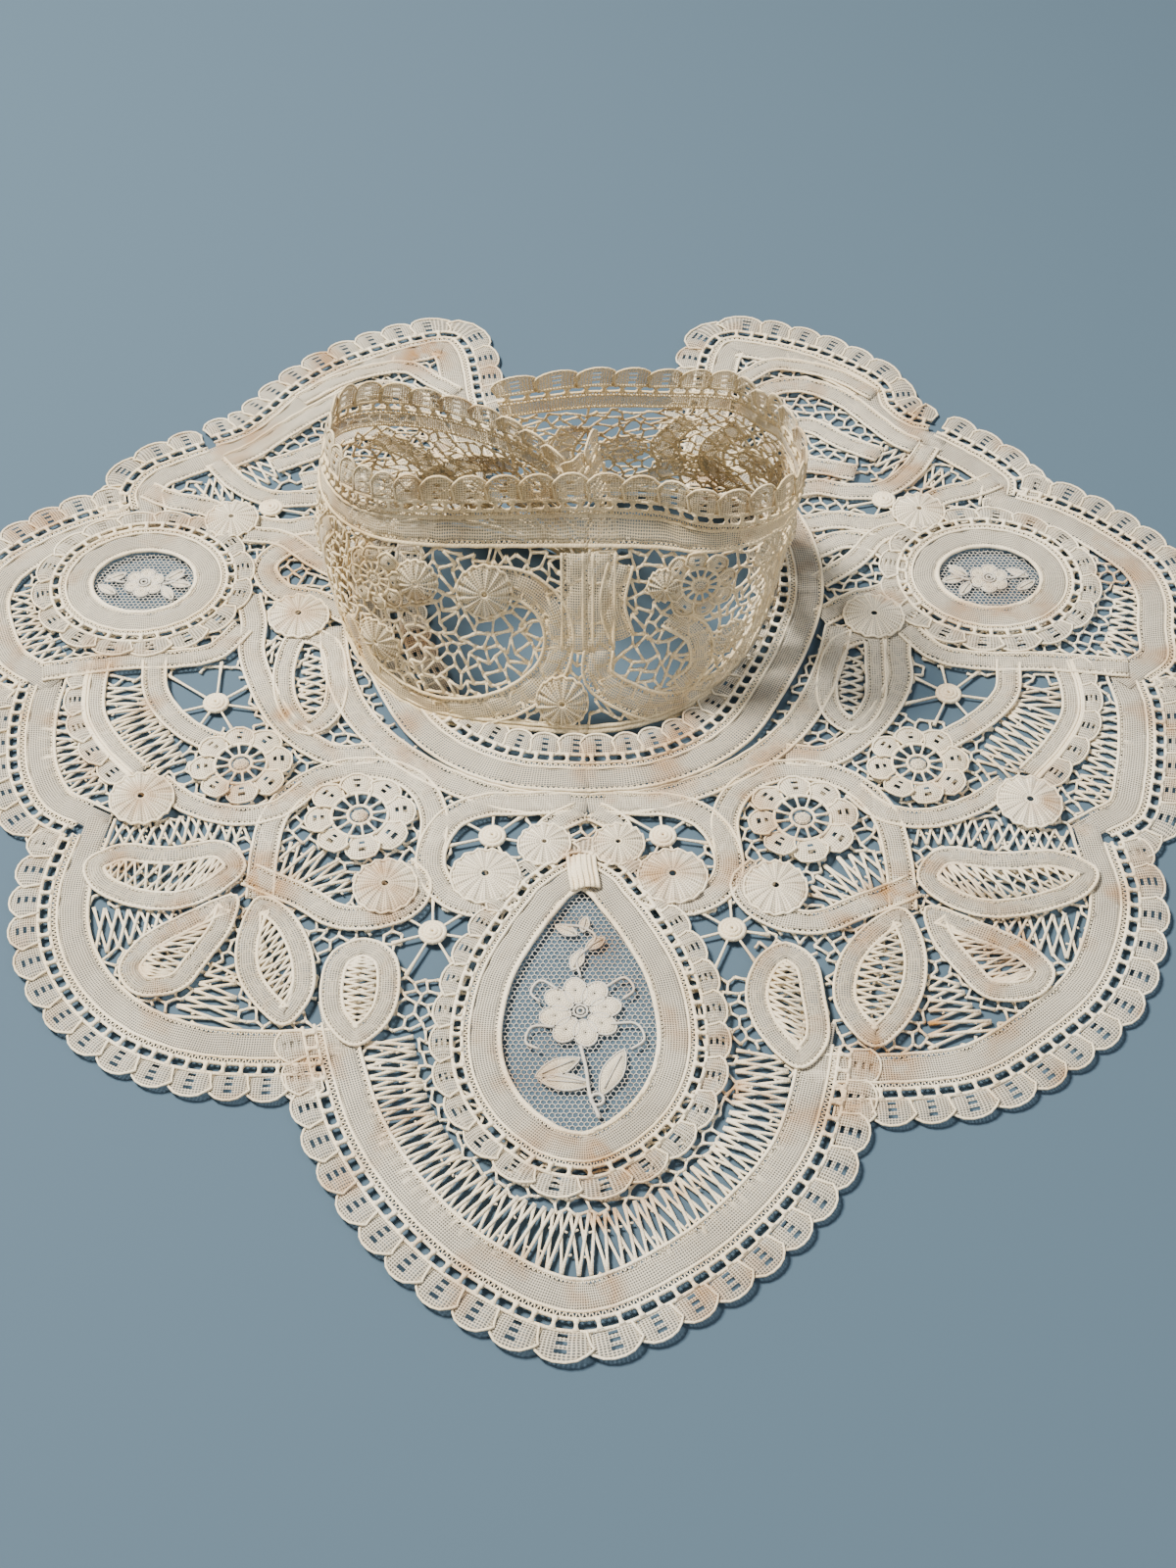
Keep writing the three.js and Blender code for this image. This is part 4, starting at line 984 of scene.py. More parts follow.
    def ribbon(self, run: Run, off: float, width: float, lift: float, cloth: float = CLOTH,
               crown: float = 0.0, step: float = 2.4, ripple: float = 0.25, columns: int = 5,
               tuck: float = 0.0) -> None:
        """Adds a woven ribbon beside a run, a thin closed shell.

        Args:
            run: the line that it follows.
            off: offset of its middle to the line's left.
            width: its width.
            lift: its height.
            cloth: its thickness.
            crown: how far its middle rises over its edges.
            step: distance between its points along.
            ripple: height of its ripples.
            columns: points across it.
            tuck: how far it runs on past both ends.
        """
        along = run.steps(step)
        if tuck:
            along = np.concatenate([[-tuck], along, [run.length + tuck]])
        loop = run.closed
        along = along[:-1] if loop else along
        across = np.linspace(width / 2, -width / 2, columns)
        section = np.concatenate([across, across[::-1]])
        place = run.beside(along[:, None], off + section[None, :])
        dome = crown * (1 - (2 * section / width) ** 2)
        wave = ripple * np.sin(along[:, None] * 0.55 + section[None, :] * 0.4) + 0.5 * ripple * np.sin(
            along[:, None] * 1.7 - section[None, :] * 0.9)
        side = np.where(np.arange(2 * columns) < columns, cloth / 2, -cloth / 2)
        height = lift + dome[None, :] + wave + side[None, :]
        rings = np.concatenate([place, height[..., None]], -1)[None]
        v = width / 2 - across
        self.sweep(rings, along[None], np.concatenate([v, v[::-1], v[:1]]), loop)
        self.cut += width * (run.length_at(off) + 2 * tuck)

    def zigzag(self, run: Run, low: float, high: float, pitch: float, radius: float, lift: float) -> None:
        """Adds an openwork row: a thread that goes to and fro.

        Args:
            run: the line that it follows.
            low: the offset that it starts at.
            high: the offset that it goes to.
            pitch: length of one to and fro.
            radius: the thread's radius.
            lift: its height.
        """
        along = run.steps(pitch / 2)
        off = np.where(np.arange(len(along)) % 2, high, low)
        path = np.concatenate([run.beside(along, off), np.full((len(along), 1), lift)], 1)
        self.bars(path[:-1], path[1:], radius)

    def copies(self, motif: Motif, run: Run, off: float, count: int, out: int, lift: float,
               stretch: float = 1.0, scale: float = 1.0) -> None:
        """Lays copies of a motif beside a run, with a cord round each.

        Args:
            motif: the motif, which points away from the run.
            run: the line that carries the copies.
            off: offset of their base line.
            count: how many there are, evenly spaced.
            out: +1 where they point to the run's left, or -1.
            lift: height of their lowest points.
            stretch: how much wider than their pitch they are.
            scale: how much deeper than the motif they are.
        """
        pitch = run.length / count
        middle = (np.arange(count) + 0.5) * pitch
        wide = pitch / SCALLOP * stretch
        sway = 0.9 + 0.2 * np.sin(np.arange(count) * 2.4) ** 2

        def lay(points: np.ndarray, higher: float) -> np.ndarray:
            """Lays the motif's points at each copy.

            Args:
                points: the points in mm on the motif.
                higher: how much higher than the copy they are laid.

            Returns:
                An (items, points, 3) array.
            """
            along = middle[:, None] + points[None, :, 0] * wide * out
            away = off + out * points[None, :, 1] * scale * (0.96 + 0.06 * np.sin(middle[:, None] * 0.7))
            height = lift + higher + points[None, :, 2] * sway[:, None] - 0.09 * points[None, :, 0]
            return np.concatenate([run.beside(along, away), height[..., None]], -1)

        laid = lay(motif.points, 0.0)
        starts = (np.arange(count) * len(motif.points))[:, None, None]
        faces = motif.faces[None] + starts
        flat = motif.points[motif.faces][:, :, :2]
        self.add(laid, faces.reshape(-1, 4), np.broadcast_to(flat, (count, *flat.shape)))
        spread = run.length_at(off + out * scale * motif.outline[:, 1].max() / 2) / run.length
        self.cut += count * motif.flat * wide * scale * spread
        self.edges.tubes(lay(motif.outline, 0.25), 0.38, 4)

    def shell(self, top: np.ndarray, cloth: float, uv: np.ndarray) -> None:
        """Adds a thin closed shell under a ring-shaped grid.

        Args:
            top: its upper side, a (rings, turns, 3) array.
            cloth: its thickness.
            uv: UV in mm of each point, a (rings, turns, 2) array.
        """
        under = top.copy()
        under[..., 2] -= cloth
        rings = np.concatenate([top, under[::-1]], 0)
        count, turns, _ = rings.shape
        r = np.arange(count)[:, None]
        c = np.arange(turns)[None, :]
        ahead, beside = (r + 1) % count, (c + 1) % turns
        faces = np.stack([r * turns + c, ahead * turns + c, ahead * turns + beside, r * turns + beside], -1)
        flat = np.concatenate([uv, uv[::-1]], 0).reshape(-1, 2)
        self.add(rings, faces, flat[faces.reshape(-1, 4)])

    def disc(self, centre: np.ndarray, reach: tuple[float, float], lift: float, crown: float, pleats: int = 0,
             pleat: float = 0.0, hole: float = 0.08, turn: float = 0.0, rings: int = 5, turns: int = 24,
             point: float = 0.0, cloth: float = CLOTH) -> np.ndarray:
        """Adds a domed disc or petal.

        Args:
            centre: its middle.
            reach: its two half widths, the first along its own direction.
            lift: height of its rim.
            crown: how far its middle rises over its rim.
            pleats: how many radial pleats it has.
            pleat: the pleats' height at the rim.
            hole: share of its reach that its eye takes.
            turn: its own direction, in radians.
            rings: rings of points from the eye out.
            turns: points round each ring.
            point: how sharply its two ends are drawn out.
            cloth: its thickness.

        Returns:
            The outline of its rim, an (n, 3) array.
        """
        share = np.linspace(hole, 1, rings)[:, None]
        angle = np.linspace(0, 2 * math.pi, turns, endpoint=False)[None, :]
        x = reach[0] * share * np.cos(angle) * (1 + point * np.cos(angle) ** 8)
        y = reach[1] * share * np.sin(angle) * (1 - point * 0.5 * np.abs(np.cos(angle)))
        height = lift + crown * (1 - share**2) + pleat * share * np.sin(pleats * angle)
        spun = np.stack([centre[0] + x * math.cos(turn) - y * math.sin(turn),
                         centre[1] + x * math.sin(turn) + y * math.cos(turn),
                         np.broadcast_to(height, x.shape)], -1)
        self.shell(spun, cloth, np.stack([np.broadcast_to(angle * max(reach) * 0.6, x.shape),
                                          np.broadcast_to(share * reach[0], x.shape)], -1))
        slope = pleat * pleats / max(reach) * np.cos(np.linspace(0, 2 * math.pi, 60))
        self.cut += math.pi * reach[0] * reach[1] * (1 - hole**2) * float(np.sqrt(1 + slope**2).mean())
        return spun[-1]

    def mesh(self, name: str, finish: bpy.types.Material) -> bpy.types.Object:
        """Turns the work into one object.

        Args:
            name: the object's name.
            finish: its material.

        Returns:
            The object, with its UV map.
        """
        points, faces, uvs = np.vstack(self.points), np.vstack(self.faces), np.vstack(self.uvs)
        data = bpy.data.meshes.new(name)
        data.vertices.add(len(points))
        data.vertices.foreach_set("co", points.astype(np.float32).ravel())
        data.loops.add(faces.size)
        data.loops.foreach_set("vertex_index", faces.astype(np.int32).ravel())
        data.polygons.add(len(faces))
        data.polygons.foreach_set("loop_start", np.arange(0, faces.size, 4, dtype=np.int32))
        data.polygons.foreach_set("loop_total", np.full(len(faces), 4, np.int32))
        data.update(calc_edges=True)
        data.uv_layers.new(name="cloth").data.foreach_set("uv", uvs.astype(np.float32).ravel())
        data.polygons.foreach_set("use_smooth", np.ones(len(faces), bool))
        data.validate()
        data.materials.append(finish)
        made = bpy.data.objects.new(name, data)
        bpy.context.scene.collection.objects.link(made)
        return made


@dataclass
class Workshop:
    """What the pieces share: the surfaces, the materials and the motifs."""

    table: Table = field(default_factory=Table)
    materials: dict[str, bpy.types.Material] = field(default_factory=dict)
    total: int = 0

    def __post_init__(self) -> None:
        """Builds the wall, the motifs and the materials."""
        self.wall = Wall(self.table)
        self.scallop = ScallopPattern().model()
        self.petal = ScallopPattern(flare=0.35, tip=0.5, crown=1.3, pleats=2, rows=7, holes=(2, 4)).model()
        for finish in FINISHES:
            self.materials[finish.name] = finish.material(self.table.shift)

    def start(self, upright: bool = False) -> Work:
        """New cloth work with its cord work, on the table or on the wall."""
        surface = self.wall if upright else self.table
        return Work(surface, edges=Work(surface))

    def finish_piece(self, name: str, work: Work, nodes: Sequence[str], cloth: Finish = WOVEN_PAINTED_SHADE,
                     thread: Finish = CREAM, width: float = 8.0, held: str = "laid",
                     rests_on: Sequence[str] = ("root",)) -> bpy.types.Object:
        """Args:
            name: the piece's name.
            work: the cloth, with its cord work.
            nodes: the frame's nodes that it stands for.
            cloth: finish of the cloth.
            thread: finish of the cords.
            width: width of the strips that the cloth is cut as, in mm; not used.
            held: how the cloth lies; not used.
            rests_on: what it rests on; not used.

        Returns:
            The cloth's object.
        """
        piece = work.mesh(f"lace_{name}", self.materials[cloth.name])
        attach(piece, "root")
        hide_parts(*nodes)
        going = []
        if work.edges.points:
            cords = work.edges.mesh(f"cords_{name}", self.materials[thread.name])
            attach(cords, "root")
            going.append(cords)
        for made in (piece, *going):
            faces = 2 * len(made.data.polygons)
            self.total += faces
            log.info("%s: %d triangles", made.name, faces)
        return piece


@dataclass(frozen=True)
class Braid:
    """Cross-section of the frilled braid, in mm to the frill's side of its edge line.

    Attributes:
        inner: its inner edge.
        woven_in: where its woven tape starts.
        woven_out: where the tape ends.
        header: the cord that the ladder hangs from.
        ladder: the cord that the scallops hang from.
        tip: the scallops' tips.
        cord: radius of its cords.
    """

    inner: float = -9.2
    woven_in: float = -8.1
    woven_out: float = -0.9
    header: float = 1.3
    ladder: float = 4.5
    tip: float = 13.2
    cord: float = 0.5

    def lay(self, work: Work, shop: Workshop, run: Run, out: int, lift: float, ladder: bool = True,
            tuck: float = 0.0) -> None:
        """Works the braid along a run: woven tape, openwork, ladder and scallops.

        Args:
            work: the cloth that it is added to.
            shop: the shared motifs.
            run: the braid's edge line.
            out: +1 where the frill lies on the run's left, or -1.
            lift: height of the woven tape.
            ladder: whether the bars of the ladder are worked.
            tuck: how far the tape runs on under its neighbours at both ends.
        """
        middle = (self.woven_in + self.woven_out) / 2
        work.ribbon(run, out * middle, self.woven_out - self.woven_in, lift, tuck=tuck)
        edges = work.edges
        span = (-tuck, run.length + tuck) if tuck else None
        edges.cord(run, out * self.inner, self.cord, lift + 0.1, span=span)
        edges.zigzag(run, out * self.inner, out * (self.woven_in + 0.2), 1.5, 0.2, lift)
        edges.cord(run, out * (self.woven_out + 0.15), 0.42, lift + 0.2)
        edges.zigzag(run, out * self.woven_out, out * self.header, 1.6, 0.22, lift)
        for off in (self.header, self.ladder):
            edges.cord(run, out * off, self.cord, lift + 0.2)
        count = max(2, round(run.length / SCALLOP))
        if ladder:
            at = (np.arange(2 * count) + 0.5) * run.length / (2 * count)
            ends = [np.concatenate([run.beside(at, out * v), np.full((len(at), 1), lift + 0.1)], 1)
                    for v in (self.header, self.ladder)]
            edges.bars(ends[0], ends[1], 0.85, (1.5, 0.75, 0.75, 1.5))
        depth = self.tip - self.ladder
        work.copies(shop.scallop, run, out * (self.ladder - 0.2), count, out, lift - 0.35, 1.04,
                    depth / ScallopPattern.depth)


BORDER_BRAID = Braid()
NECK_BRAID = Braid(tip=13.4)
MEDALLION_BRAID = Braid(-8.7, -7.8, -0.9, 1.1, 3.9, 10.4)
INNER_BRAID = Braid(-5.2, -4.4, -0.6, 0.5, 1.0, 7.5)
RIM_BRAID = Braid(-7.2, -6.2, -0.7, 1.5, 4.9, 15.6)


def tape(work: Work, run: Run, width: float, lift: float) -> None:
    """Works a plain run of braid: woven ribbon, openwork edges and cords.

    Args:
        work: the cloth that it is added to.
        run: its middle line.
        width: its whole width.
        lift: its height.
    """
    half = width / 2
    work.ribbon(run, 0.0, width - 2.4, lift, crown=0.25)
    for side in (-1, 1):
        work.edges.cord(run, side * half, 0.45, lift + 0.1)
        work.edges.zigzag(run, side * (half - 1.3), side * half, 1.4, 0.2, lift)


def crossing(work: Work, spine: np.ndarray, widths: Sequence[float], lift: float, pitch: float = 3.4,
             seed: int = 1) -> np.ndarray:
    """Works a ground of brides that cross between two edges, with picots.

    Args:
        work: the cord work that it is added to.
        spine: the ground's middle line.
        widths: the ground's width at each point of the spine.
        lift: height of the threads.
        pitch: distance between the brides along the spine.
        seed: picks the unevenness.

    Returns:
        The ground's outline.
    """
    rng = np.random.default_rng(seed)
    run = Run(spine)
    share = np.linspace(0, run.length, len(widths))
    count = max(2, round(run.length / pitch))
    at = np.linspace(0, run.length, count + 1)
    half = np.interp(at, share, widths) / 2 + 0.9
    low = run.beside(at + rng.normal(0, 0.35, len(at)), -half)
    high = run.beside(at + rng.normal(0, 0.35, len(at)), half)
    flat = np.full((len(at), 1), lift)
    low, high = np.hstack([low, flat]), np.hstack([high, flat + 0.1])
    twist = (1.35, 0.85, 1.0, 0.85, 1.35)
    work.bars(low[:-1], high[1:], 0.52, twist, 0.5)
    work.bars(high[:-1] - [0, 0, 0.2], low[1:], 0.52, twist, 0.2)
    for share_up in (0.3, 0.7):
        middle = low[:-1] * (1 - share_up) + high[1:] * share_up
        away = rng.normal(0, 1, (len(middle), 2))
        away /= np.linalg.norm(away, axis=1, keepdims=True)
        tip = middle + np.hstack([away * 1.3, np.full((len(middle), 1), 0.3)])
        work.bars(middle, tip, 0.32)
    edge = np.interp(run.at, share, widths) / 2
    return np.vstack([run.beside(run.at, -edge), run.beside(run.at, edge)[::-1]])


def honeycomb(low: np.ndarray, high: np.ndarray, pitch: float) -> tuple[np.ndarray, np.ndarray]:
    """Lays out the threads of an even net of six-sided meshes.

    Args:
        low: the area's lower left corner.
        high: the area's upper right corner.
        pitch: width of a mesh.

    Returns:
        The knots, an (n, 2) array, and the pairs of knots that a thread joins, an (m, 2) array.
    """
    up, across = pitch * 0.75, pitch * 0.866
    knots: dict[tuple[int, int, int], int] = {}
    places = []
    for j in range(int((high[1] - low[1]) / up) + 1):
        for i in range(int((high[0] - low[0]) / across) + 1):
            for k, dy in ((0, -0.25), (1, 0.25)):
                knots[(i, j, k)] = len(places)
                places.append((low[0] + (i + 0.5 * (j % 2)) * across, low[1] + j * up + dy * pitch))
    pairs = []
    for (i, j, k), one in knots.items():
        ends = [(i, j, 1)] if k == 0 else [(i + j % 2 - 1, j + 1, 0), (i + j % 2, j + 1, 0)]
        pairs += [(one, knots[end]) for end in ends if end in knots]
    return np.array(places), np.array(pairs)


def lattice(work: Work, region: np.ndarray, holes: Sequence[np.ndarray], pitch: float, radius: float,
            lift: float, seed: int, jitter: float = 0.22, brides: bool = True,
            clear: np.ndarray | None = None) -> None:
    """Works an irregular ground over a region, clear of its holes.

    Args:
        work: the cord work that it is added to.
        region: the region's outline.
        holes: outlines that it stays out of.
        pitch: width of a mesh.
        radius: the threads' radius.
        lift: their height.
        seed: picks the unevenness.
        jitter: how uneven it is, as a share of the pitch.
        brides: whether the threads are wound thicker at their ends, as brides are.
        clear: samples of a border's edge line, from which it stays BORDER_INNER away.
    """
    rng = np.random.default_rng(seed)
    places, ends = honeycomb(region.min(0) - pitch, region.max(0) + pitch, pitch)
    spots = places + rng.normal(0, jitter * pitch * 0.5, places.shape)
    keep = inside(region, spots)
    if clear is not None:
        keep &= np.linalg.norm(spots[:, None] - clear[None, ::3], axis=2).min(1) > BORDER_INNER
    for hole in holes:
        keep &= ~inside(hole, spots)
    ends = ends[keep[ends[:, 0]] & keep[ends[:, 1]]]
    knots = np.column_stack([spots, lift + rng.normal(0, 0.12, len(spots))])
    work.bars(knots[ends[:, 0]], knots[ends[:, 1]], radius, *(((1.4, 0.85, 1.4), 0.15) if brides else ()))


def ring_at(work: Work, centre: Sequence[float], radius: float, height: float, thick: float, sides: int = 6,
            count: int = 24) -> None:
    """Works one ring of cord.

    Args:
        work: the cloth whose cord work it is added to.
        centre: its middle.
        radius: its radius.
        height: its height.
        thick: the cord's radius.
        sides: how many sides the cord has.
        count: how many points the ring has.
    """
    path = np.column_stack([circle(centre, radius, count), np.full(count, height)])
    work.edges.tubes(path[None], thick, sides, loop=True)


def circle(centre: Sequence[float], radius: float, count: int = 20) -> np.ndarray:
    """Finds even points of a circle.

    Args:
        centre: its middle.
        radius: its radius.
        count: how many points there are.

    Returns:
        A (count, 2) array, anticlockwise.
    """
    angle = np.linspace(0, 2 * math.pi, count, endpoint=False)
    return np.array(centre) + radius * np.stack([np.cos(angle), np.sin(angle)], 1)


def spider(work: Work, disc: np.ndarray, opening: np.ndarray, lift: float, legs: int = 7) -> None:
    """Works a wound disc held by legs in an opening.

    Args:
        work: the cloth whose cord work it is added to.
        disc: the disc's middle.
        opening: the opening's outline.
        lift: height of the legs at the disc.
        legs: how many legs there are.
    """
    rim = smooth(opening, True)
    angle = np.arctan2(rim[:, 1] - disc[1], rim[:, 0] - disc[0])
    for k in range(legs):
        want = (k + 0.3) / legs * 2 * math.pi - math.pi
        far = rim[np.argmin(np.abs((angle - want + math.pi) % (2 * math.pi) - math.pi))]
        far = far + (far - disc) / np.hypot(*(far - disc)) * 2.6
        start, end = np.array([[*disc, lift]]), np.array([[*far, lift - 0.4]])
        work.edges.bars(start, end, 0.5, (1.2, 0.8, 0.9, 1.5), 0.2)
    for radius, height in ((3.3, 0.3), (2.1, 0.6), (1.0, 0.8)):
        ring_at(work, disc, radius, lift + height, 0.75, count=20)


def rosette(work: Work, centre: np.ndarray, radius: float, lift: float, turn: float = 0.0) -> None:
    """Works braid gathered into a round, with deep pleats to its eye.

    Args:
        work: the cloth that it is added to.
        centre: its middle.
        radius: its radius.
        lift: height of what it lies on.
        turn: how far it is turned, in radians.
    """
    rim = work.disc(centre, (radius, radius * 0.96), lift + 0.2, 1.5, 15, 0.62, 0.13, turn, 6, 90)
    work.edges.tubes(rim[None, ::2], 0.42, 4, loop=True)
    ring_at(work, centre, radius * 0.14, lift + 1.36, 0.4, 4, 28)


def daisy(work: Work, shop: Workshop, centre: np.ndarray, radius: float, lift: float) -> None:
    """Works a flower: a hub, a wheel of legs, and eight scalloped petals.

    Args:
        work: the cloth that it is added to.
        shop: the shared motifs.
        centre: its middle.
        radius: its radius.
        lift: its height.
    """
    inner = 0.5 * radius
    ring = Run(circle(centre, inner, 24)[::-1], closed=True)
    depth = radius - inner
    work.copies(shop.petal, ring, -0.3, 8, 1, lift - 0.2, 0.95, depth / ScallopPattern.depth)
    for size in (inner, inner * 0.42):
        ring_at(work, centre, size, lift + 0.5, 0.5)
    angle = np.arange(12) / 12 * 2 * math.pi + 0.2
    spokes = np.stack([np.cos(angle), np.sin(angle)], 1)
    flat = np.full((12, 1), lift + 0.5)
    hub, rim = np.hstack([centre + spokes * inner * 0.4, flat]), np.hstack([centre + spokes * inner, flat])
    work.edges.bars(hub, rim, 0.5, (1.2, 0.75, 1.3))
    work.disc(centre, (2.4, 2.3), lift + 0.3, 0.8, 6, 0.15, 0.1, rings=4)


@dataclass
class Yoke:
    """The flat part of the collar: borders, grounds, ring, nets and what is laid on them.

    Attributes:
        shop: the shared workshop.
        middle: a place inside the yoke, which the borders' frills point away from.
        mesh: width of the ground's meshes.
        thread: radius of the ground's threads.
        tuck: how far a border runs on under its neighbours.
        net_lift: height of the nets.
        ring_lift: height of the neck braid.
        loop_lift: height of the leaves and ovals.
        daisy_lift: height of the flowers.
        rosette_lift: height of what the rosettes lie on.
    """

    shop: Workshop
    middle: tuple[float, float] = (0.0, 30.0)
    mesh: float = 5.2
    thread: float = 0.42
    tuck: float = 7.0
    net_lift: float = 1.5
    ring_lift: float = 2.7
    loop_lift: float = 2.7
    daisy_lift: float = 2.8
    rosette_lift: float = 2.9

    def border(self, name: str, kind: str, edge: np.ndarray) -> None:
        """Works one lobe's frilled braid.

        Args:
            name: the lobe's name, with its half.
            kind: the lobe's name.
            edge: the braid's edge line.
        """
        run = Run(edge)
        centre = np.array([run.length / 2])
        sample = run.beside(centre, np.array([5.0]))[0]
        start = run.beside(centre, np.array([0.0]))[0]
        out = 1 if np.dot(sample - start, start - np.array(self.middle)) > 0 else -1
        work = self.shop.start()
        BORDER_BRAID.lay(work, self.shop, run, out, LOBE_LIFTS[kind], tuck=self.tuck)
        self.shop.finish_piece(f"border_{name}", work, [f"border_{name}"], width=15.9)

    def furnish(self, work: Work, kind: str, half: Half, seed: int) -> list[np.ndarray]:
        """Works what lies in one half of a lobe's ground.

        Args:
            work: the ground's cloth.
            kind: the lobe's name.
            half: the half.
            seed: picks the unevenness.

        Returns:
            Outlines that the lattice stays out of.
        """
        lift = LOBE_LIFTS[kind]
        holes = []
        for lobe, spine, widths in BRIDE_GROUNDS:
            if lobe == kind:
                holes.append(crossing(work.edges, half.place(spine), widths, lift - 0.75, seed=seed))
        for lobe, disc, opening in SPIDERS:
            if lobe == kind:
                spider(work, half.place([disc])[0], half.place(opening), lift)
                holes.append(half.place(opening))
        for k, (lobe, line, width) in enumerate(TAPE_RUNS):
            if lobe == kind:
                closed = line[0] == line[-1]
                points = half.place(line)[:-1] if closed else half.place(line)
                tape(work, Run(points, closed), width, lift + 0.35 + 0.2 * (k % 3))
        for lobe, line in FRILL_RUNS:
            if lobe == kind:
                out = -1 if half is Half.LEFT else 1
                INNER_BRAID.lay(work, self.shop, Run(half.place(line)), out, lift + 0.4, False)
        return holes + [circle(half.place([centre])[0], radius * 0.55) for centre, radius in DAISIES.values()]

    def ground(self, name: str, kind: str, halves: Sequence[Half], region: np.ndarray, edge: np.ndarray,
               seed: int) -> None:
        """Works one lobe's ground: runs of braid, grounds of brides, spiders and a lattice.

        Args:
            name: the lobe's name, with its half.
            kind: the lobe's name.
            halves: the halves that it covers.
            region: its outline.
            edge: its border's edge line.
            seed: picks the unevenness.
        """
        work = self.shop.start()
        lift = LOBE_LIFTS[kind]
        holes = []
        for half in halves:
            holes += self.furnish(work, kind, half, seed)
        if kind == "front":
            line, widths = FRONT_GROUND
            spine = np.vstack([Half.LEFT.place(line), Half.RIGHT.place(line)[-2::-1]])
            holes.append(crossing(work.edges, spine, [*widths, *widths[-2::-1]], lift - 0.75, 3.0, seed))
        if kind in ("front", "wing"):
            for outline in self.nets(halves, kind):
                run = Run(outline, True)
                holes.append(run.beside(run.steps(4.0)[:-1], np.array(-9.0)))
        neck = [smooth(half.place(RING_EDGE), step=6) for half in Half]
        holes.append(np.vstack([neck[0], neck[1][::-1]]))
        lattice(work.edges, region, holes, self.mesh, self.thread, lift - 0.7, seed, clear=smooth(edge))
        self.shop.finish_piece(f"ground_{name}", work, [f"ground_{name}"], TAPES_PAINTED_SHADE, width=7.5)

    def nets(self, halves: Sequence[Half], kind: str) -> list[np.ndarray]:
        """Finds the outlines of a lobe's net inserts.

        Args:
            halves: the halves that the lobe covers.
            kind: the lobe's name.

        Returns:
            The outlines, anticlockwise.
        """
        if kind == "front":
            right = [(2 * NET_MIDDLE[0] - x, y) for x, y in FRONT_NET[1:-1]]
            return [smooth([*FRONT_NET, *right[::-1]], True)]
        centre, reach = WING_NET
        angle = np.linspace(0, 2 * math.pi, 28, endpoint=False)
        oval = np.stack([reach[0] * np.cos(angle), reach[1] * np.sin(angle)], 1)
        return [half.place([centre])[0] + oval for half in halves]

    def insert(self, name: str, outline: np.ndarray, seed: int) -> None:
        """Works a net insert: the net, its sprig, and the frilled braid round it.

        Args:
            name: the insert's name, with its half.
            outline: the net's outline.
            seed: picks the net's unevenness.
        """
        shop, lift = self.shop, self.net_lift
        net = shop.start()
        pitch = 1.75 if name == "front" else 1.6
        lattice(net.edges, outline, [], pitch, 0.13, lift, seed, 0.04, brides=False)
        if name == "front":
            self.sprig(net, lift + 0.35)
        else:
            self.spray(net, outline.mean(0), lift + 0.35, 1 if "left" in name else -1)
        shop.finish_piece(f"net_{name}", net, [f"net_{name}"], WORKED, NETTING_PAINTED_SHADE, width=12)
        frill = shop.start()
        rim = Run(outline, True)
        edge = Run(rim.beside(np.arange(0, rim.length, 6.0), -9.0), True)
        MEDALLION_BRAID.lay(frill, shop, edge, -1, lift + 1.1)
        frill.edges.cord(rim, 0.0, 0.6, lift + 1.2)
        shop.finish_piece(f"medallion_{name}", frill, [f"medallion_{name}"], width=14.0)

    def petals(self, work: Work, centre: np.ndarray, count: int, inner: float, outer: float, wide: float,
               lift: float, first: float = 0.0) -> None:
        """Works a small flower of separate petals with corded rims.

        Args:
            work: the cloth that it is added to.
            centre: its middle.
            count: how many petals it has.
            inner: how far from its middle they start.
            outer: how far from its middle they end.
            wide: half width of a petal.
            lift: its height.
            first: direction of the first petal, in radians.
        """
        for k in range(count):
            turn = first + k / count * 2 * math.pi
            middle = centre + (inner + outer) / 2 * np.array([math.cos(turn), math.sin(turn)])
            rim = work.disc(middle, ((outer - inner) / 2, wide), lift, 0.3, turn=turn, rings=3, turns=14)
            work.edges.tubes(rim[None], 0.28, 4, loop=True)
        for size in (0.9, 1.9):
            ring_at(work, centre, size, lift + 0.4, 0.35, 4, 12)

    def stem(self, work: Work, line: Points, lift: float, radius: float = 0.42) -> None:
        """Works a stem or curl of cord."""
        path = smooth(line, step=1.2)
        work.edges.tubes(np.column_stack([path, np.full(len(path), lift + 0.2)])[None], radius, 4)

    def leaf(self, work: Work, centre: Sequence[float], reach: tuple[float, float], turn: float,
             lift: float) -> None:
        """Works a pointed leaf with a vein and a corded rim.

        Args:
            work: the cloth that it is added to.
            centre: its middle.
            reach: half its length and half its width.
            turn: its direction, in radians.
            lift: its height.
        """
        middle = np.array(centre)
        rim = work.disc(middle, reach, lift, 0.3, turn=turn, rings=3, turns=16, point=0.25)
        work.edges.tubes(rim[None], 0.28, 4, loop=True)
        way = np.array([math.cos(turn), math.sin(turn)]) * reach[0] * 0.9
        ends = [np.array([[*(middle + k * way), lift + 0.4]]) for k in (-1, 1)]
        work.edges.bars(ends[0], ends[1], 0.25)

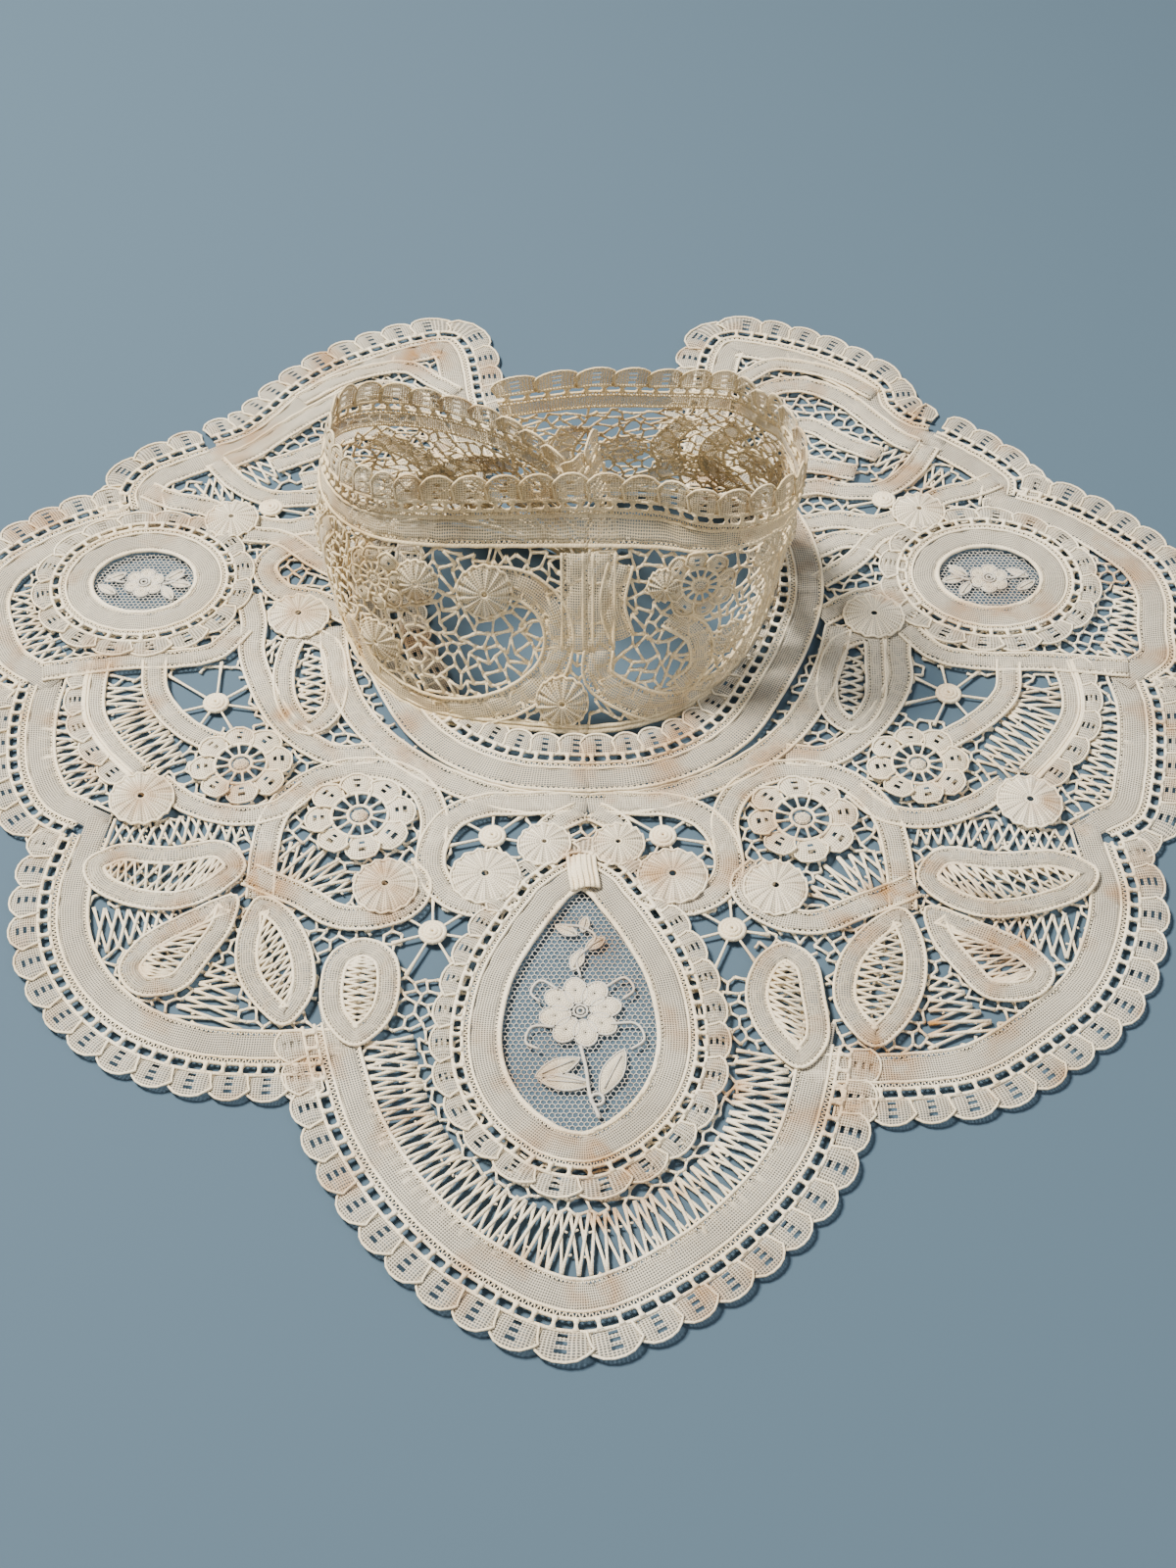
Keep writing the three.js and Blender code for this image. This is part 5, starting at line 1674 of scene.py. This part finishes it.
    def sprig(self, work: Work, lift: float) -> None:
        """Works the tall sprig of the front net.

        Args:
            work: the net's cloth.
            lift: its height.
        """
        self.petals(work, np.array([-2.0, -100.0]), 8, 2.6, 11.2, 3.2, lift, 0.2)
        self.stem(work, [(-2, -111), (-0.5, -118), (0.5, -126), (3, -133)], lift, 0.6)
        self.stem(work, [(-2, -89), (-3, -83), (1, -78), (2, -75), (-2, -72), (-6, -71.5)], lift)
        self.stem(work, [(-8, -93), (-13, -90), (-15.5, -94), (-13, -97)], lift)
        self.stem(work, [(5, -92), (10, -89), (12.5, -93), (9.5, -96)], lift)
        self.stem(work, [(-9, -105), (-15, -105), (-16.5, -110), (-13, -112)], lift)
        self.stem(work, [(6, -104), (13, -104), (15, -109), (11.5, -112)], lift)
        self.stem(work, [(0, -122), (-4, -121), (-9, -120)], lift)
        for middle, reach, turn in (((-8, -117.5), (5.2, 2.6), 0.45), ((-6, -122), (5.4, 2.6), -0.1),
                                    ((6.5, -119), (6.2, 2.9), 1.15), ((-3, -83), (3.0, 1.9), 1.2),
                                    ((2, -77.5), (2.6, 1.7), 0.6), ((-6, -73), (2.8, 1.7), -0.5),
                                    ((-1, -71), (2.2, 1.4), 1.4)):
            self.leaf(work, middle, reach, turn, lift)
        ring_at(work, (2.4, -127.5), 1.7, lift + 0.3, 0.5, 4, 14)

    def spray(self, work: Work, centre: np.ndarray, lift: float, way: int) -> None:
        """Works the small spray of an oval net.

        Args:
            work: the net's cloth.
            centre: its middle.
            lift: its height.
            way: +1, or -1 where it is mirrored.
        """
        self.petals(work, centre, 6, 1.5, 6.3, 2.5, lift, 0.4)
        for x, y, turn in ((-9.5, 2.5, 0.5), (-11.5, -3, -0.6), (9.5, 3.5, 0.7), (11.5, -0.5, -0.2),
                           (8, -4.5, -1.0)):
            self.leaf(work, centre + np.array([x * way, y]), (2.9, 1.6), turn * way, lift)
        self.stem(work, centre + np.array([(-6, 0), (-9, 0.5), (-12, 3)]) * [way, 1], lift)
        self.stem(work, centre + np.array([(6, -1), (9, 0), (12.5, 3.5)]) * [way, 1], lift)

    def ring(self, half: Half) -> None:
        """Works one half of the braid at the neck, its frill under the band.

        Args:
            half: the half.
        """
        edge = Run(half.place(RING_EDGE))
        inward = -1 if half is Half.LEFT else 1
        run = Run(edge.beside(np.arange(0, edge.length, 7.0), inward * TAPE))
        work = self.shop.start()
        NECK_BRAID.lay(work, self.shop, run, inward, self.ring_lift)
        name = f"neck_ring_{half.value}"
        self.shop.finish_piece(name, work, [name], width=15.9)

    @staticmethod
    def under(name: str, half: Half) -> list[str]:
        """Finds what a laid motif rests on.

        Args:
            name: the motif's name, without its half.
            half: its half.

        Returns:
            The names of the pieces.
        """
        return [f"lace_{piece}" if piece.endswith("_front") else f"lace_{piece}_{half.value}"
                for piece in RESTS[name]]

    def laid(self, half: Half) -> None:
        """Works the flowers, rosettes, leaves and ovals of one half.

        Args:
            half: the half.
        """
        shop = self.shop
        for name, (centre, radius) in DAISIES.items():
            work = shop.start()
            daisy(work, shop, half.place([centre])[0], radius, self.daisy_lift)
            node, rests = f"daisy_{name}_{half.value}", self.under(f"daisy_{name}", half)
            shop.finish_piece(node, work, [node], WORKED, width=12, rests_on=rests)
        for k, (name, (centre, radius)) in enumerate(ROSETTES.items()):
            work = shop.start()
            rosette(work, half.place([centre])[0], radius, self.rosette_lift, 0.7 * k)
            node, rests = f"rosette_{name}_{half.value}", self.under(f"rosette_{name}", half)
            shop.finish_piece(node, work, [node], WORKED, width=12, rests_on=rests)
        for name, outline in LOOPS.items():
            work = shop.start()
            self.loop(work, half.place(outline))
            node, rests = f"{name}_{half.value}", self.under(name, half)
            shop.finish_piece(node, work, [node], WOVEN_PAINTED_SHADE, width=12, rests_on=rests)

    def loop(self, work: Work, outline: np.ndarray) -> None:
        """Works a closed leaf or oval of braid with brides inside it.

        Args:
            work: the cloth that it is added to.
            outline: its outline.
        """
        lift = self.loop_lift
        run = Run(outline if signed_area(outline) > 0 else outline[::-1], True)
        work.ribbon(run, 3.1, 4.2, lift, crown=0.3, step=1.8)
        for off in (0.2, 5.9):
            work.edges.cord(run, off, 0.45, lift + 0.1)
        work.edges.zigzag(run, 0.2, 1.1, 1.4, 0.2, lift)
        work.edges.zigzag(run, 5.0, 5.9, 1.4, 0.2, lift)
        spots = run.beside(np.linspace(0, run.length, 33)[:-1], np.full(32, 5.8))
        far = np.argmax(np.linalg.norm(spots - spots.mean(0), axis=1))
        spots = np.roll(spots, -far, 0)
        flat = np.full((14, 1), lift)
        one, two = np.hstack([spots[1:15], flat]), np.hstack([spots[31:17:-1], flat])
        work.edges.bars(one[:-1], two[1:], 0.4, (1.3, 0.8, 1.3))
        work.edges.bars(two[:-1], one[1:], 0.4, (1.3, 0.8, 1.3))

    def cap(self) -> None:
        """Works the padded bar over the front net's tip."""
        work = self.shop.start()
        run = Run([(-2, -48.5), (-1.6, -53), (-0.6, -60)])
        work.ribbon(run, 0.0, 7.2, 3.4, 0.4, 1.2, 1.0, 0.2, 7)
        for side, radius in ((-1, 0.6), (-0.55, 0.35), (-0.15, 0.42), (0.3, 0.35), (0.62, 0.4), (1, 0.6)):
            work.edges.cord(run, side * 3.7, radius, 3.7 + 1.15 * (1 - side**2), 1.2)
        self.shop.finish_piece("cap_front", work, ["cap_front"], CREAM, width=12,
                               rests_on=["lace_medallion_front"])

    def build(self) -> None:
        """Works the whole yoke, lobe by lobe."""
        both = (Half.LEFT, Half.RIGHT)
        front = np.vstack([Half.LEFT.place(FRONT_EDGE), Half.RIGHT.place(FRONT_EDGE)[-2::-1]])
        self.border("front", "front", front)
        sides = [half.place(LOBE_SEAMS["frontFan"]) for half in both]
        self.ground("front", "front", both, np.vstack([front, sides[1][1:], sides[0][:0:-1]]), front, 3)
        for half in both:
            for seed, (kind, (first, last)) in enumerate(LOBE_BOUNDS.items()):
                edge = half.place(LOBE_EDGES[kind])
                name = f"{kind}_{half.value}"
                self.border(name, kind, edge)
                close = half.place(LOBE_SEAMS[last])[1:] if last else half.place([(-31, 119)])
                region = np.vstack([edge, close, half.place(LOBE_SEAMS[first])[:0:-1]])
                self.ground(name, kind, (half,), region, edge, 11 + seed)
            self.ring(half)
            self.laid(half)
        self.cap()
        self.insert("front", self.nets(both, "front")[0], 5)
        for half in both:
            self.insert(f"wing_{half.value}", self.nets((half,), "wing")[0], 6)


@dataclass
class Band:
    """The standing neck band: openwork below, and a frilled braid round its rim.

    Attributes:
        shop: the shared workshop.
        foot: height where the openwork starts.
        top: height where it ends.
        flap: how far it stops short of a flap's end.
        gap: half the gap at the front centre.
        over: how far past a half's end a motif's middle may lie.
        mesh: width of the ground's meshes.
        thread: radius of the ground's threads.
    """

    shop: Workshop
    foot: float = 3.0
    top: float = 57.0
    flap: float = 0.8
    gap: float = 0.05
    over: float = 4.0
    mesh: float = 5.2
    thread: float = 0.42

    def span(self, half: Half) -> tuple[float, float]:
        """Where one half starts and ends, along the wall."""
        first, last = self.shop.wall.ends
        return (first + self.flap, -self.gap) if half is Half.LEFT else (self.gap, last - self.flap)

    def openwork(self, half: Half) -> None:
        """Works one half's openwork wall.

        Args:
            half: the half.
        """
        low, high = self.span(half)
        start, stop = low - self.over, high + self.over
        work = self.shop.start(upright=True)
        holes = []
        for line, width in BAND_RUNS:
            if start <= line[len(line) // 2][0] <= stop:
                points = np.clip(np.array(line, float), (low + 3, 4), (high - 3, 55))
                tape(work, Run(points), width, 0.1)
        for a, h, radius in BAND_ROSETTES:
            if start <= a <= stop:
                rosette(work, np.array([np.clip(a, low + radius, high - radius), h]), radius, 0.5)
        for a, h, radius in BAND_DAISIES:
            if start <= a <= stop:
                daisy(work, self.shop, np.array([a, h]), radius, 0.4)
                holes.append(circle((a, h), radius * 0.55))
        region = np.array([(low, self.foot), (high, self.foot), (high, self.top), (low, self.top)], float)
        seed = 21 if half is Half.LEFT else 22
        lattice(work.edges, region, holes, self.mesh, self.thread, -0.2, seed, 0.45)
        for height, radius in ((2.6, 0.8), (4.0, 0.5)):
            level = Run([(low, height), ((low + high) / 2, height), (high, height)])
            work.edges.cord(level, 0.0, radius, 0.1)
        end = low if half is Half.LEFT else high
        work.edges.cord(Run([(end, self.foot), (end, 30), (end, self.top)]), 0.0, 0.6, 0.1)
        name = f"band_{half.value}"
        self.shop.finish_piece(name, work, [name], STRAW, STRAW_CORD, width=8.0, held="folded")

    def rim(self, half: Half) -> None:
        """Works one half's frilled braid.

        Args:
            half: the half.
        """
        low, high = self.span(half)
        height = self.shop.wall.shoulder
        braid = self.shop.start(upright=True)
        run = Run([(low, height), (low * 0.7 + high * 0.3, height), (low * 0.3 + high * 0.7, height),
                   (high, height)])
        RIM_BRAID.lay(braid, self.shop, run, 1, 0.1)
        name = f"band_braid_{half.value}"
        self.shop.finish_piece(name, braid, [name], STRAW, STRAW_CORD, width=15.9, held="folded")

    def build(self) -> None:
        """Works both halves, from the front centre to the flaps' ends."""
        for half in Half:
            self.openwork(half)
            self.rim(half)


@dataclass(frozen=True)
class Lamp:
    """A soft area light that points at the collar."""

    name: str
    place: tuple[float, float, float]
    size: float
    power: float
    colour: Colour

    def hang(self) -> None:
        """Adds the light to the scene."""
        data = bpy.data.lights.new(self.name, "AREA")
        data.size, data.energy, data.color = self.size, self.power, self.colour
        lamp = bpy.data.objects.new(self.name, data)
        lamp.location = self.place
        away = np.array(self.place) - [0, 0, 0.02]
        flat = math.hypot(away[0], away[1])
        lamp.rotation_euler = (math.atan2(flat, away[2]), 0, math.atan2(away[0], -away[1]) if flat else 0)
        bpy.context.scene.collection.objects.link(lamp)


@dataclass
class Studio:
    """The plain floor, the soft lights and the camera; its lengths are in metres.

    Attributes:
        floor: the floor's colour.
        sky: the even light's colour.
        strength: the even light's strength.
        lamps: the lights.
        focal_px: the camera's focal length, in pixels of the frame.
        frame_px: the frame's height in pixels.
        sensor: the sensor's height in mm.
        pitch: how far the camera looks down, in degrees.
        height: the camera's height.
        back: the camera's place along Y from the plan's origin.
    """

    floor: Colour = (0.071, 0.113, 0.157)
    sky: Colour = (0.97, 0.98, 1.0)
    strength: float = 0.30
    lamps: tuple[Lamp, ...] = (Lamp("key", (-0.8, 0.35, 1.44), 0.40, 84.0, (1.0, 0.94, 0.84)),
                               Lamp("fill", (0.8, -0.6, 0.9), 0.9, 5.0, (0.94, 0.97, 1.0)))
    focal_px: float = 2100.0
    frame_px: float = 1600.0
    sensor: float = 36.0
    pitch: float = 50.0
    height: float = 0.465
    back: float = -0.4087

    def camera(self, shift: np.ndarray) -> None:
        """Sets up the camera that looks down on the collar's front.

        Args:
            shift: how far the plan's origin lies from the frame's, in mm.
        """
        data = bpy.data.cameras.new("view")
        data.sensor_fit = "VERTICAL"
        data.sensor_height = self.sensor
        data.lens = self.focal_px / self.frame_px * self.sensor
        data.clip_start, data.clip_end = 0.01, 30
        camera = bpy.data.objects.new("view", data)
        camera.location = (shift[0] * MM, self.back + shift[1] * MM, self.height)
        camera.rotation_euler = (math.radians(90 - self.pitch), 0, 0)
        bpy.context.scene.collection.objects.link(camera)
        bpy.context.scene.camera = camera

    def ground(self) -> None:
        """Builds the floor."""
        bpy.ops.object.select_all(action="DESELECT")
        bpy.ops.mesh.primitive_plane_add(size=12, location=(0, 0, 0))
        ground = bpy.context.object
        ground.name = "floor"
        plain = bpy.data.materials.new("floor")
        plain.use_nodes = True
        shader = plain.node_tree.nodes["Principled BSDF"]
        shader.inputs["Base Color"].default_value = (*self.floor, 1)
        shader.inputs["Roughness"].default_value = 0.95
        shader.inputs["Specular IOR Level"].default_value = 0.1
        ground.data.materials.append(plain)

    def build(self, shift: np.ndarray) -> None:
        """Builds the floor, the world, the lights and the camera.

        Args:
            shift: how far the plan's origin lies from the frame's, in mm.
        """
        self.ground()
        world = bpy.data.worlds.new("studio")
        bpy.context.scene.world = world
        world.use_nodes = True
        background = world.node_tree.nodes["Background"]
        background.inputs["Color"].default_value = (*self.sky, 1)
        background.inputs["Strength"].default_value = self.strength
        for lamp in self.lamps:
            lamp.hang()
        self.camera(shift)


def main() -> None:
    """Builds the studio, the yoke and the band, and reports each piece."""
    logging.basicConfig(level=logging.INFO, format="%(name)s: %(message)s")
    shop = Workshop()
    Studio().build(shop.table.shift)
    Yoke(shop).build()
    Band(shop).build()
    log.info("all pieces: %d triangles", shop.total)


if __name__ == "__main__":
    main()
